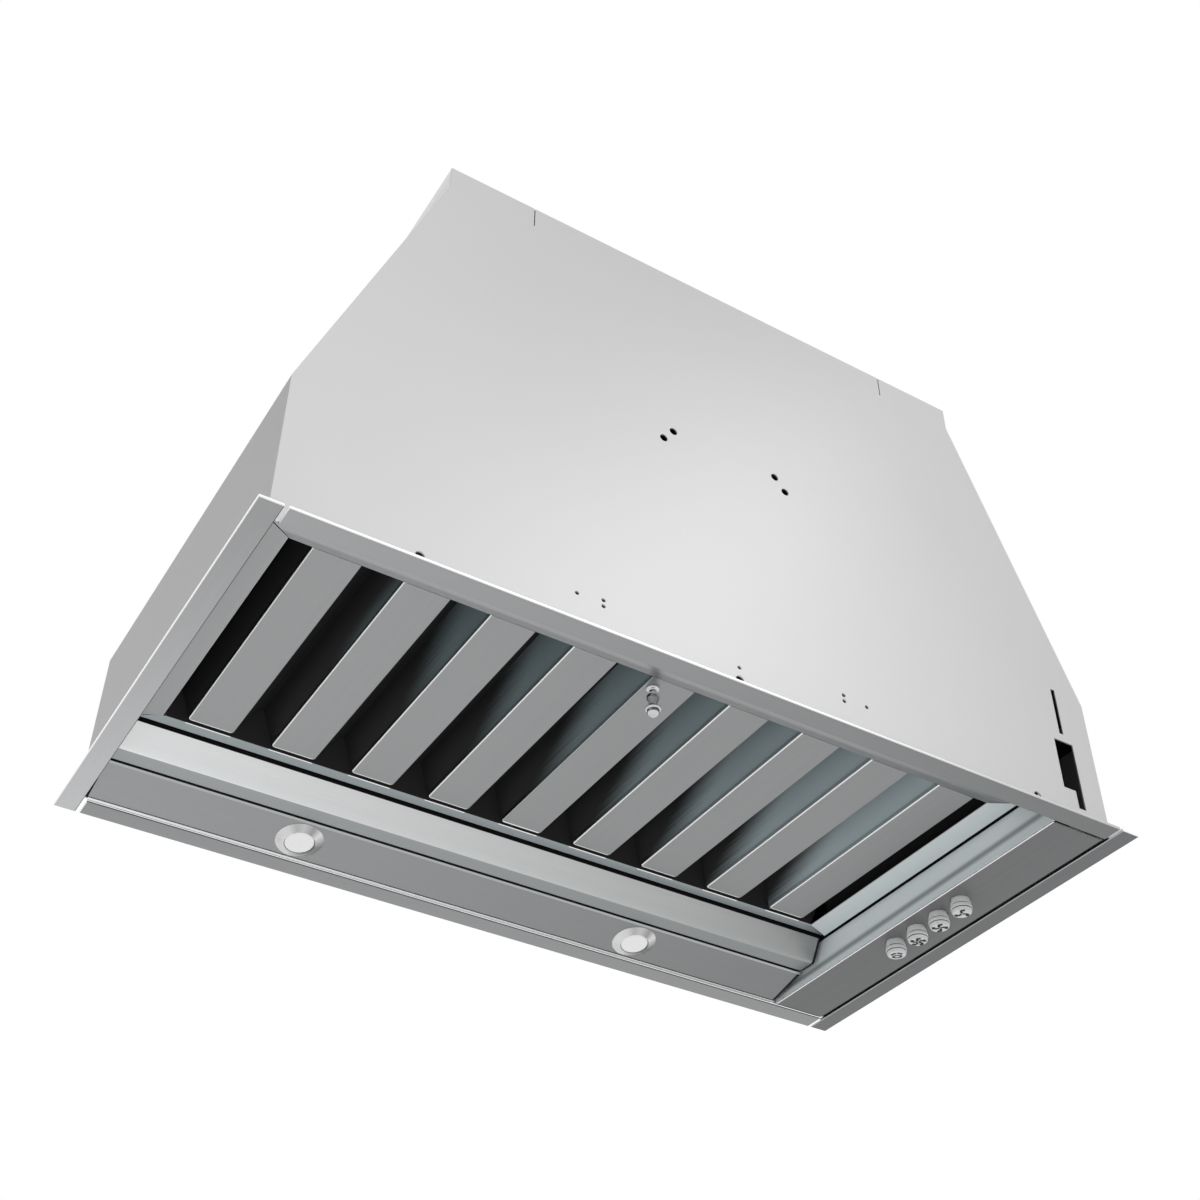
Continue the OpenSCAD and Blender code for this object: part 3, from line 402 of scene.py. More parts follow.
COLOURS = {
    "housing": ((0.52, 0.52, 0.522), "Sheet steel of the walls"),
    "recess": ((0.385, 0.392, 0.396), "Steel of the filter and its baffles"),
    # edge is a painted highlight: near white, for edges that catch the light
    "edge": ((0.99, 0.99, 0.99), "Bright cut and folded edges"),
    # soft_edge is a softer painted highlight on the edges of rails and panels
    "soft_edge": ((0.50, 0.51, 0.515), "Edges of the rails and panels"),
    # inner is painted shade: near black, for the steel inside, out of the light
    "inner": ((0.011, 0.011, 0.0112), "Steel inside, out of the light"),
    # gable_left and gable_right are a painted reflection over the openings, from their left end to their
    # right
    "gable_left": ((0.085, 0.115, 0.12), "Steel over the openings"),
    "gable_right": ((0.36, 0.43, 0.45), "Steel over the openings"),
    # end_wall is the walls' steel painted darker, as the end walls' shade
    "end_wall": ((0.335, 0.335, 0.337), "Sheet steel of the end walls"),
    # front_strip and left_strip are one flange steel in two tones, painted for the light on each side
    "front_strip": ((0.34, 0.345, 0.35), "Brushed underside of the flange"),
    "left_strip": ((0.42, 0.425, 0.43), "Brushed underside of the flange"),
    "band": ((0.70, 0.71, 0.715), "Bright band and rail behind the filter"),
    # band_lip is the band's steel painted darker, as the shade of its level lip
    "band_lip": ((0.31, 0.325, 0.33), "Level lip of the band"),
    "rear_foot": ((0.35, 0.39, 0.40), "Foot of the filter's rear rail"),
    # right_foot is the rail steel painted lighter, as a painted reflection of the wall beside it
    "right_foot": ((0.66, 0.72, 0.73), "Foot of the filter's right rail"),
    "lamp_panel": ((0.33, 0.335, 0.34), "Sheet that carries the lamps"),
    "control_panel": ((0.152, 0.155, 0.158), "Sheet with the buttons"),
    "polished": ((0.775, 0.84, 0.855), "Polished wall of the control box"),
    "zinc": ((0.50, 0.52, 0.54), "Galvanised sheet inside"),
    "knob": ((0.72, 0.73, 0.74), "Turned pull knob"),
    "spring": ((0.50, 0.51, 0.52), "Bright spring steel"),
    "fastener": ((0.46, 0.47, 0.48), "Plated screws and nuts"),
    "button": ((0.95, 0.965, 0.97), "Plated plastic of the buttons"),
    # button_end: the buttons' brushed ends, painted darker as their shade
    "button_end": ((0.68, 0.69, 0.695), "Brushed ends of the buttons"),
    "print_black": ((0.01, 0.01, 0.01), "Signs on the buttons"),
    "bezel": ((0.80, 0.80, 0.805), "Spun metal round the lamps"),
    "lens": ((0.97, 0.97, 0.97), "Frosted lamp lens"),
    "aluminium": ((0.56, 0.57, 0.58), "Lamp bodies and impeller"),
    "black_plastic": ((0.03, 0.03, 0.032), "Switches and capacitor"),
    "board": ((0.02, 0.12, 0.05), "Lacquer of the switch board"),
    "motor": ((0.16, 0.165, 0.17), "Enamel of the motor"),
    "driver": ((0.78, 0.78, 0.75), "Case of the lamp driver"),
    "rubber": ((0.022, 0.022, 0.022), "Cable grommet"),
    "floor": ((0.92, 0.92, 0.92), "Floor under the object"),
}


class HoodColours(bpy.types.PropertyGroup):
    """Colours of the finishes."""

    __annotations__ = {key: bpy.props.FloatVectorProperty(
        name=titled(key), description=words, subtype="COLOR", size=4, min=0.0, max=1.0,
        default=(*value, 1.0)) for key, (value, words) in COLOURS.items()}


# Lengths in millimetres and angles in radians

LENGTHS = {
    "sheet_edge": (0.3, "Rounding of the cut edges of the sheets"),
    "hem_edge": (0.7, "Rounding of the flange's folded edges"),
    "rail_edge": (0.75, "Rounding of the filter rails' edges"),
    "fold": (2.0, "Rounding of the folds of the band and the panels"),
    "baffle_edge": (1.45, "Rounding of the baffles' edges"),
    "flange_top": (3.0, "Height under which the edges of the flange are rounded"),
    "lamp_front_y": (136.7, "Front edge of the lamp panel, from the centre"),
    "lamp_front_z": (9.5, "Height of the lamp panel's front edge"),
    "lamp_back_y": (178.1, "Back edge of the lamp panel, from the centre"),
    "lamp_back_z": (0.4, "Height of the lamp panel's back edge"),
    "lamp_shift": (1.2, "Lamps' distance down the slope from the panel's middle"),
    "sign_height": (0.06, "Thickness of the printed signs"),
    "sign_size": (6.6, "Half the width of a printed sign"),
    "blade_sheet": (0.9, "Thickness of an impeller blade"),
    "ring_width": (14.0, "Width of the impeller's end rings"),
    "floor_depth": (1150.0, "Floor's distance under the flange"),
}
ANGLES = {
    "sign_turn": (0.785, "Turn of the signs on their buttons"),
    "blade_sweep": (0.07, "Turn of a blade from root to tip"),
    "camera_yaw": (0.548790, "Camera's turn to the right of the front"),
    "camera_pitch": (0.696615, "Camera's upward tilt"),
    "camera_roll": (0.002424, "Camera's roll"),
}


class HoodSizes(bpy.types.PropertyGroup):
    """Sizes of the fine pieces, and the camera."""

    __annotations__ = {
        **{key: bpy.props.FloatProperty(
            name=titled(key), description=words, subtype="DISTANCE", unit="LENGTH", precision=5,
            default=value * MM, min=0.0) for key, (value, words) in LENGTHS.items()},
        **{key: bpy.props.FloatProperty(
            name=titled(key), description=words, subtype="ANGLE", default=value)
            for key, (value, words) in ANGLES.items()},
        "blades": bpy.props.IntProperty(
            name="Impeller blades", description="Number of impeller blades", default=30, min=12, max=60),
        "camera_lens": bpy.props.FloatProperty(
            name="Lens", description="Focal length of the camera, in millimetres", default=50.358),
        "camera_place": bpy.props.FloatVectorProperty(
            name="Camera", description="Camera's place in the object's frame", subtype="TRANSLATION",
            unit="LENGTH", default=(-0.58786, -0.95621, -0.71245)),
    }


def sizes():
    return bpy.context.scene.hood_sizes


def colours():
    return bpy.context.scene.hood_colours


def finish_table():
    """Every finish by its name. The numbers after a colour are the roughness and how metallic it is."""
    c = colours()
    # Places past which the band and the lamp panel get the painted shadow of the control box
    band_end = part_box("rear_band")[1][0] - BAND_SHADOW * MM
    panel_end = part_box("lamp_panel")[1][0] - PANEL_SHADOW * MM
    # Place behind which the blades' rear ends get a painted highlight
    blade_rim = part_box("lower_baffle_1")[1][1] - BLADE_RIM * MM
    return {
        # Each fade is a painted gradient of light across the object
        "housing_steel": satin_steel(c.housing, 0.36, 0.5, fade=(1.13, 0.87)),
        "galvanised_steel": galvanised_steel(c.zinc, 0.42, 0.85),
        "bright_steel": brushed_steel(c.band, 0.34, 0.7, "X", 1.2, 0.035, fade=(1.38, 0.48)),
        "band_steel": brushed_steel(c.band, 0.34, 0.7, "X", 1.2, 0.035, fade=(1.38, 0.48), end=band_end),
        # The band's level lip, painted as its shade
        "band_lip_steel": brushed_steel(c.band_lip, 0.34, 0.85, "X", fade=(1.3, 0.9), end=band_end),
        "lamp_panel_steel": brushed_steel(c.lamp_panel, 0.36, 0.9, "X", tone=0.03, fade=(1.19, 0.76),
                                          end=panel_end),
        "control_panel_steel": brushed_steel(c.control_panel, 0.4, 0.2, "Y", tone=0.09,
                                             fade=(1.02, 0.95), fade_along="Y"),
        "polished_steel": polished_wall(c.polished),
        "baffle_steel": brushed_steel(c.recess, 0.36, 0.85, "Y", tone=0.035, fade=(1.06, 0.82)),
        # Blades with a painted highlight at their rear ends
        "blade_steel": brushed_steel(c.recess, 0.36, 0.85, "Y", tone=0.035, fade=(1.02, 0.77),
                                     rim=blade_rim),
        # Painted reflection and painted shade over the openings
        "gable_painted_reflection": painted_reflection_steel(c.inner, c.gable_left, c.gable_right),
        "gleam_steel": gleam_steel(c.rear_foot, shade(c.edge, 1.08)),
        # Painted shade in the seams along the strips' inner edges
        "seam_painted_shade": satin_steel(shade(c.recess, 0.25), 0.5, 0.0, shine=0.1),
        # The front foot is the filter's steel painted lighter against the shade of the strip
        "front_foot_steel": brushed_steel(shade(c.recess, 1.08), 0.34, 0.85, "X", fade=(1.1, 0.76)),
        "rear_foot_steel": brushed_steel(c.rear_foot, 0.34, 0.85, "X", fade=(1.1, 0.9)),
        # The right foot's painted reflection
        "right_foot_steel": brushed_steel(c.right_foot, 0.34, 0.1, "Y"),
        # The flange's strips in tones painted for the light on each side
        "front_strip_steel": brushed_steel(c.front_strip, 0.36, 0.85, "X", fade=(1.3, 0.64)),
        "rear_strip_steel": brushed_steel(c.front_strip, 0.36, 0.85, "X"),
        "left_strip_steel": brushed_steel(c.left_strip, 0.36, 0.85, "Y", fade=(0.95, 1.5), fade_along="Y"),
        "right_strip_steel": brushed_steel(shade(c.control_panel, 1.22), 0.36, 0.85, "Y", tone=0.07),
        "strip_end_steel": end_metal(c.inner, c.edge),
        # The end walls' steel painted darker, as their shade
        "end_wall_steel": satin_steel(c.end_wall, 0.36, 0.5),
        # Painted light on the top of the left end wall
        "upper_wall_painted_light": satin_steel(shade(c.end_wall, 2.4), 0.36, 0.5),
        # Painted shade of the insides, the openings and the mitres
        "painted_shade_steel": satin_steel(c.inner, 0.6, 0.0, tone=0.1, shine=0.1),
        # Painted highlights on rounded edges, the front one fading to the right
        "painted_highlight_edge": satin_steel(c.edge, 0.25, 1.0),
        "front_painted_highlight": satin_steel(c.edge, 0.25, 1.0, fade=(1.04, 0.5)),
        # A softer painted highlight on edges
        "soft_edge": satin_steel(c.soft_edge, 0.3, 1.0),
        "knob_metal": turned_metal(c.knob, 0.16, 1.0),
        "spring_steel": satin_steel(c.spring, 0.28, 1.0),
        "fastener_steel": satin_steel(c.fastener, 0.34, 1.0, tone=0.05),
        "button_plastic": brushed_steel(c.button, 0.32, 0.1, "Z", line=6.0, tone=0.07, depth=0.001),
        # Painted shade in the buttons' grooves
        "button_groove_painted_shade": satin_steel(shade(c.button, 0.03), 0.5, 0.0, shine=0.1),
        # Brushed ends of the buttons, painted darker as their shade
        "button_end_plastic": brushed_steel(c.button_end, 0.36, 0.1, "X", depth=0.001),
        "sign_print": moulding(c.print_black, 0.55, pebble=0.2, depth=0.001),
        "white_metal": satin_steel(c.bezel, 0.26, 0.85, tone=0.02),
        "left_bezel_metal": spun_metal(c.bezel, centre_of("lamp_lens_left")),
        "right_bezel_metal": spun_metal(c.bezel, centre_of("lamp_lens_right")),
        "frosted_lens": frosted_lens(c.lens),
        "cast_aluminium": cast_metal(c.aluminium, 0.45),
        "impeller_metal": satin_steel(c.aluminium, 0.4, 1.0, tone=0.04),
        "black_plastic": moulding(c.black_plastic, 0.5),
        "driver_plastic": moulding(c.driver, 0.5),
        "black_rubber": moulding(c.rubber, 0.7, pebble=0.6, depth=0.02, sheen=0.2),
        "circuit_board": circuit_board(c.board),
        "motor_enamel": enamel(c.motor, 0.38),
        "floor": floor_paint(c.floor),
    }


_made = {}


def finish_of(name):
    """The material of that name, which is made on its first use."""
    if name not in _made:
        _made[name] = bpy.data.materials.new(name)
        _made[name].use_nodes = True
        finish_table()[name](Graph(_made[name].node_tree))
    return _made[name]


def dress(node, slot=None):
    """Gives a CAD node its material."""
    mesh = frame["nodes"][node].data
    mesh.materials.clear()
    mesh.materials.append(finish_of(slot or SLOT_OF[node]))


# Meshes

def add_object(name, data):
    item = bpy.data.objects.new(name, data)
    bpy.context.scene.collection.objects.link(item)
    return item


def mesh_of(name, shape):
    """A mesh from a bmesh, which is freed."""
    mesh = bpy.data.meshes.new(name)
    shape.to_mesh(mesh)
    shape.free()
    return mesh


def placed(name, mesh, body, smooth_angle):
    """Puts a mesh in the scene as a piece of a body. Edges sharper than smooth_angle stay sharp."""
    piece = add_object(name, mesh)
    mesh.shade_smooth()
    mesh.set_sharp_from_angle(angle=math.radians(smooth_angle))
    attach(piece, body)
    return piece


def new_piece(name, shape, slot, body, smooth_angle=35.0, finishes=()):
    """A mesh piece at the origin, from a bmesh, with its finishes, slot and body."""
    mesh = mesh_of(name, shape)
    for finish in finishes or (slot,):
        mesh.materials.append(finish_of(finish))
    return placed(name, mesh, body, smooth_angle)


def softened(node, width, edge="painted_highlight_edge", finish_for=None, segments=2, keep=None, fold=None):
    """Stands for a CAD node: its mesh with rounded edges of that width, which catch the light and carry a
    painted highlight unless edge names another finish.

    finish_for(place, normal, rounded) names the finish of a face, or gives None for the node's own
    and for the edges' one. keep(place) is true where an edge is rounded. fold is a larger width and
    a test of the edges that get it. Places are in millimetres."""
    shape = bmesh.new()
    shape.from_mesh(frame["nodes"][node].data)
    bmesh.ops.remove_doubles(shape, verts=shape.verts, dist=MERGED * MM)
    bmesh.ops.dissolve_limit(shape, angle_limit=math.radians(FLAT_ANGLE), verts=shape.verts,
                             edges=shape.edges)
    for face in shape.faces:
        face.material_index = 0
    if fold:
        round_edges(shape, fold[0], 5, fold[1])
    round_edges(shape, width, segments, keep)
    bmesh.ops.recalc_face_normals(shape, faces=shape.faces)
    finishes = [SLOT_OF[node], edge]
    for face in shape.faces:
        rounded = face.material_index == 1
        name = finish_for and finish_for(face.calc_center_median() / MM, face.normal, rounded)
        if name:
            if name not in finishes:
                finishes.append(name)
            face.material_index = finishes.index(name)
    piece = new_piece(node + "_sheet", shape, SLOT_OF[node], BODY_OF[node], 180.0, finishes)
    weight_normals(piece.data)
    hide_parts(node)


def round_edges(shape, width, segments, keep=None):
    """Rounds the sharp edges for whose middle keep is true, and marks the new faces with 1."""
    sharp = [item for item in shape.edges
             if len(item.link_faces) == 2 and item.calc_face_angle(0.0) > math.radians(SHARP_ANGLE)
             and (keep is None or keep((item.verts[0].co + item.verts[1].co) / 2 / MM))
             and not any(face.material_index == 1 for face in item.link_faces)]
    rounded = bmesh.ops.bevel(shape, geom=sharp, offset=width, offset_type="OFFSET", segments=segments,
                              profile=0.5, affect="EDGES", clamp_overlap=True)
    for face in rounded["faces"]:
        face.material_index = 1


def beyond(place, border):
    """Whether a place is past the border's X to the left or right, and past its Y to the front or back."""
    return abs(place.x) > border[0], abs(place.y) > border[1]


def painted_shade_above(height):
    """Faces above that height are inside, out of the light, and get painted shade."""
    return lambda place, normal, rounded: "painted_shade_steel" if place.z > height else None


def weight_normals(mesh):
    """Normals led by the largest faces, so that flat sheet stays flat between its rounded edges.

    Faces that meet more sharply than 50 degrees are shaded apart."""
    faces_at = [[] for _ in mesh.vertices]
    for face in mesh.polygons:
        for vertex in face.vertices:
            faces_at[vertex].append(face)
    normals = []
    for face in mesh.polygons:
        for vertex in face.vertices:
            total = Vector()
            for other in faces_at[vertex]:
                if face.normal.dot(other.normal) > SHADED_AS_ONE:
                    total += other.normal * other.area
            normals.append(total.normalized())
    mesh.normals_split_custom_set(normals)


def filleted(points, radius, steps=4):
    """An outline of (radius, height) points with its inner corners rounded."""
    out = [Vector(points[0])]
    for before, corner, after in zip(points, points[1:], points[2:]):
        corner = Vector(corner)
        back, ahead = Vector(before) - corner, Vector(after) - corner
        reach = min(radius, back.length * 0.45, ahead.length * 0.45)
        start, end = corner + back.normalized() * reach, corner + ahead.normalized() * reach
        for step in range(steps + 1):
            t = step / steps
            out.append(start * (1 - t) ** 2 + corner * 2 * t * (1 - t) + end * t ** 2)
    return out + [Vector(points[-1])]


def turned(outline, place, steps=64):
    """A bmesh turned from an outline of (radius, height) points in millimetres, then put in place.

    The outline starts and ends on the axis, or at one and the same point."""
    shape = bmesh.new()
    rings = []
    for radius, height in outline:
        if radius < 1e-6:
            rings.append([shape.verts.new((0, 0, height * MM))])
        else:
            rings.append([shape.verts.new((radius * MM * math.cos(math.tau * i / steps),
                                           radius * MM * math.sin(math.tau * i / steps), height * MM))
                          for i in range(steps)])
    for low, high in zip(rings, rings[1:]):
        for i in range(steps):
            corners = [low[i % len(low)], low[(i + 1) % len(low)],
                       high[(i + 1) % len(high)], high[i % len(high)]]
            corners = list(dict.fromkeys(corners))
            if len(corners) > 2:
                shape.faces.new(corners)
    bmesh.ops.recalc_face_normals(shape, faces=shape.faces)
    bmesh.ops.transform(shape, matrix=place, verts=shape.verts)
    return shape


def centre_of(node):
    low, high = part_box(node)
    return (Vector(low) + Vector(high)) / 2


# Geometry Nodes

def copies_tree():
    """Copies of a mesh, evenly turned about an axis through a centre."""
    tree = bpy.data.node_groups.new("copies_about_axis", "GeometryNodeTree")
    for name, kind in (("Geometry", "Geometry"), ("Count", "Int"), ("Axis", "Vector"), ("Centre", "Vector"),
                       ("Finish", "Material")):
        tree.interface.new_socket(name, in_out="INPUT", socket_type="NodeSocket" + kind)
    tree.interface.new_socket("Geometry", in_out="OUTPUT", socket_type="NodeSocketGeometry")
    graph = Graph(tree)
    given = graph.add("NodeGroupInput").outputs
    index = graph.number(graph.add("GeometryNodeInputIndex"))
    angle = index * math.tau / Number(graph, given["Count"])
    turn = graph.add("FunctionNodeAxisAngleToRotation", {"Axis": given["Axis"], "Angle": angle})
    points = graph.add("GeometryNodePoints", {"Count": given["Count"], "Position": given["Centre"]})
    copies = graph.add("GeometryNodeInstanceOnPoints", {
        "Points": points.outputs[0], "Instance": given["Geometry"], "Rotation": turn.outputs[0]})
    solid = graph.add("GeometryNodeRealizeInstances", {"Geometry": copies.outputs[0]})
    painted = graph.add("GeometryNodeSetMaterial", {
        "Geometry": solid.outputs[0], "Material": given["Finish"]})
    graph.add("NodeGroupOutput", {"Geometry": painted.outputs[0]})
    return tree


def grown(name, shape, tree, values, body, smooth_angle):
    """Runs a tree on a bmesh's mesh and returns the result as a plain mesh piece."""
    seed = mesh_of(name + "_seed", shape)
    carrier = add_object(name + "_seed", seed)
    modifier = carrier.modifiers.new(tree.name, "NODES")
    modifier.node_group = tree
    for item in tree.interface.items_tree:
        if item.in_out == "INPUT" and item.name in values:
            modifier[item.identifier] = values[item.name]
    bpy.context.view_layer.update()
    evaluated = carrier.evaluated_get(bpy.context.evaluated_depsgraph_get())
    mesh = bpy.data.meshes.new_from_object(evaluated)
    mesh.name = name
    bpy.data.objects.remove(carrier)
    bpy.data.meshes.remove(seed)
    return placed(name, mesh, body, smooth_angle)


# Pieces

class HOOD_OT_stage(bpy.types.Operator):
    """Camera, lamps, world and floor"""
    bl_idname = "hood.stage"
    bl_label = "Stage"
    CLIP = (0.05, 30.0)
    LEVEL_LIGHT = 0.4
    SUN_ANGLE = 30
    AIM = (0.0, 0.0, 0.15)
    FLOOR_HALF = 6.0

    def execute(self, context):
        self.add_camera(context)
        self.add_world(context)
        self.add_lamps()
        self.add_floor()
        return {"FINISHED"}

    def add_camera(self, context):
        s = sizes()
        data = bpy.data.cameras.new("camera")
        data.lens = s.camera_lens
        data.sensor_width = SENSOR_WIDTH
        data.clip_start, data.clip_end = self.CLIP
        camera = add_object("camera", data)
        turn = (Matrix.Rotation(-s.camera_yaw, 4, "Z")
                @ Matrix.Rotation(s.camera_pitch + math.pi / 2, 4, "X")
                @ Matrix.Rotation(s.camera_roll, 4, "Z"))
        camera.matrix_world = Matrix.Translation(s.camera_place) @ turn
        context.scene.camera = camera

    def add_world(self, context):
        """White to the camera and to reflections, a soft grey level for the light on the object."""
        world = bpy.data.worlds.new("studio")
        world.use_nodes = True
        graph = Graph(world.node_tree)
        path = graph.add("ShaderNodeLightPath").outputs
        seen = Number(graph, path["Is Camera Ray"]).highest(Number(graph, path["Is Glossy Ray"]))
        seen = seen.highest(Number(graph, path["Is Transmission Ray"]))
        level, white = (graph.add("ShaderNodeBackground", {"Color": (1, 1, 1, 1), "Strength": strength})
                        for strength in (self.LEVEL_LIGHT, 1.0))
        mixed = graph.add("ShaderNodeMixShader", {0: seen, 1: level.outputs[0], 2: white.outputs[0]})
        graph.add("ShaderNodeOutputWorld", {"Surface": mixed.outputs[0]})
        context.scene.world = world
        context.scene.view_settings.view_transform = "Standard"

    def add_lamps(self):
        """A wide key with no reflection of its own, and two soft boxes that have one in the front wall."""
        self.add_lamp("key_lamp", "SUN", (0.5, -0.6, 0.62), 2.8).visible_glossy = False
        self.add_lamp("small_box", "AREA", (1.00, -1.45, 1.62), 0.6)
        self.add_lamp("large_box", "AREA", (0.85, -1.54, 1.15), 2.0, 1.1)

    def add_lamp(self, name, kind, place, power, size=0.35):
        data = bpy.data.lights.new(name, kind)
        data.energy = power
        if kind == "SUN":
            data.angle = math.radians(self.SUN_ANGLE)
        else:
            data.shape, data.size = "DISK", size
        lamp = add_object(name, data)
        lamp.location = place
        lamp.rotation_euler = (Vector(self.AIM) - Vector(place)).to_track_quat("-Z", "Y").to_euler()
        return lamp

    def add_floor(self):
        shape = bmesh.new()
        bmesh.ops.create_grid(shape, x_segments=1, y_segments=1, size=self.FLOOR_HALF)
        bmesh.ops.translate(shape, verts=shape.verts, vec=(0, 0, -sizes().floor_depth))
        mesh = mesh_of("floor", shape)
        mesh.materials.append(finish_of("floor"))
        floor = add_object("floor", mesh)


class HOOD_OT_finishes(bpy.types.Operator):
    """Material of every CAD node"""
    bl_idname = "hood.finishes"
    bl_label = "Finishes"

    def execute(self, context):
        for node in SLOT_OF:
            dress(node)
        # The frame, catches and hinge pins inside get painted shade
        for node in ("plenum_frame", "filter_catches", "hinge_pins"):
            dress(node, "painted_shade_steel")
        return {"FINISHED"}


class HOOD_OT_housing(bpy.types.Operator):
    """Walls with the brushed underside and rounded edges of their flange, top plate and collar"""
    bl_idname = "hood.housing"
    bl_label = "Housing"

    def execute(self, context):
        for node, wall, strip in (("front_wall", None, "front_strip_steel"),
                                  ("back_wall", None, "rear_strip_steel"),
                                  ("left_end_wall", "end_wall_steel", "left_strip_steel"),
                                  ("right_end_wall", "end_wall_steel", "right_strip_steel")):
            softened(node, sizes().hem_edge, keep=self.at_rim, finish_for=self.strip(wall, strip))
        softened("top_plate", sizes().sheet_edge, edge="galvanised_steel")
        softened("outlet_collar", sizes().sheet_edge, edge="galvanised_steel")
        return {"FINISHED"}

    @staticmethod
    def at_rim(place):
        """True along the flange's outer and lower inner edges and at the corners of its strips."""
        outer = any(beyond(place, OUTER_EDGE))
        corner = all(beyond(place, STRIP_CORNER))
        inner = place.z < 0.5 and any(beyond(place, INNER_EDGE))
        return place.z <= sizes().flange_top / MM and (outer or corner or inner)

    @staticmethod
    def edge_finish(place, strip):
        """Finish of the flange's rounded edges along the recess: the strip's own dull steel, a softer
        painted highlight, or painted shade, by strip; elsewhere a painted highlight.
        """
        if strip == "front_strip_steel" and place.y < -RECESS[1]:
            return "front_painted_highlight"
        if place.z < 1.0 and not any(beyond(place, RECESS)):
            return {"front_strip_steel": strip, "right_strip_steel": "soft_edge"}.get(strip, "seam_painted_shade")
        return None

    def strip(self, wall, strip):
        """A flange strip's brushed underside and edges, and the painted light on the top of the left wall.
        """
        def finish_for(place, normal, rounded):
            if rounded:
                return self.edge_finish(place, strip)
            if place.z < 0.3 and normal.z < -0.9:
                return strip
            # The top of the left wall gets painted light
            if strip == "left_strip_steel" and place.z > UPPER_WALL_Z and abs(normal.z) < 0.1:
                return "upper_wall_painted_light"
            # A painted highlight on the rear strip's chamfer and on the strips' outer ends, and painted
            # shade with a highlight past the flange on their inner ends
            if place.z < 1.6 and normal.y < -0.3 and normal.z < -0.3:
                return "painted_highlight_edge"
            if place.z < 2.5 and abs(normal.z) < 0.3:
                outward = normal.x * place.x > 0 if abs(normal.x) > 0.5 else normal.y * place.y > 0
                bright = "front_painted_highlight" if strip == "front_strip_steel" else "painted_highlight_edge"
                return bright if outward else "strip_end_steel"
            return wall
        return finish_for


class HOOD_OT_recess(bpy.types.Operator):
    """Band, lamp panel, rail and control panel round the filter"""
    bl_idname = "hood.recess"
    bl_label = "Recess"
    BAND_FOOT_Y = 120.0
    BAND_FOOT_Z = 11.5
    LAMP_FRONT_Y = 138.0
    LAMP_FRONT_Z = (9.0, 10.0)
    LAMP_SEEN_Z = 11.0
    PANEL_FOOT_Z = 0.4
    PANEL_LEFT_X = 310.0
    PANEL_RIGHT_X = 352.0
    PANEL_HEM_Z = 2.0

    def execute(self, context):
        width = sizes().sheet_edge
        softened("rear_band", width, finish_for=self.band_finish, fold=(sizes().fold, self.at_band_fold))
        softened("lamp_panel", width, edge="soft_edge", finish_for=self.lamp_panel_finish,
                 fold=(sizes().fold, self.at_lamp_fold))
        softened("rear_rail", width, finish_for=painted_shade_above(RAIL_TOP_Z))
        softened("control_panel", sizes().hem_edge, keep=self.at_panel_edge, finish_for=self.panel_finish,
                 fold=(sizes().fold, self.at_panel_fold))
        softened("control_box", width, finish_for=painted_shade_above(SHELF_Z))
        return {"FINISHED"}

    def at_band_fold(self, place):
        return place.y < self.BAND_FOOT_Y and place.z < self.BAND_FOOT_Z

    def at_lamp_fold(self, place):
        low, high = self.LAMP_FRONT_Z
        return low < place.z < high and place.y < self.LAMP_FRONT_Y

    def band_finish(self, place, normal, rounded):
        # Painted shade on the band above the shelf
        if place.z > SHELF_Z:
            return "painted_shade_steel"
        # The level lip gets the band's steel painted as its shade
        return "band_lip_steel" if normal.z < -0.98 and not rounded else "band_steel"

    def lamp_panel_finish(self, place, normal, rounded):
        # Painted shade on the lamp panel's front face and above the height that is seen
        front = place.y < self.LAMP_FRONT_Y + 2 and normal.y < -0.8
        return "painted_shade_steel" if front or place.z > self.LAMP_SEEN_Z else None

    def at_panel_edge(self, place):
        """True along the lower left edge of the control panel."""
        return place.z < self.PANEL_FOOT_Z and place.x < self.PANEL_LEFT_X

    def at_panel_fold(self, place):
        """True along the lower right edge of the control panel."""
        return place.z < self.PANEL_FOOT_Z and place.x > self.PANEL_RIGHT_X

    def panel_finish(self, place, normal, rounded):
        # The rounding of the panel's right edge gets painted shade
        if rounded:
            return "painted_shade_steel" if place.x > self.PANEL_RIGHT_X else None
        return "housing_steel" if place.z > self.PANEL_HEM_Z else None


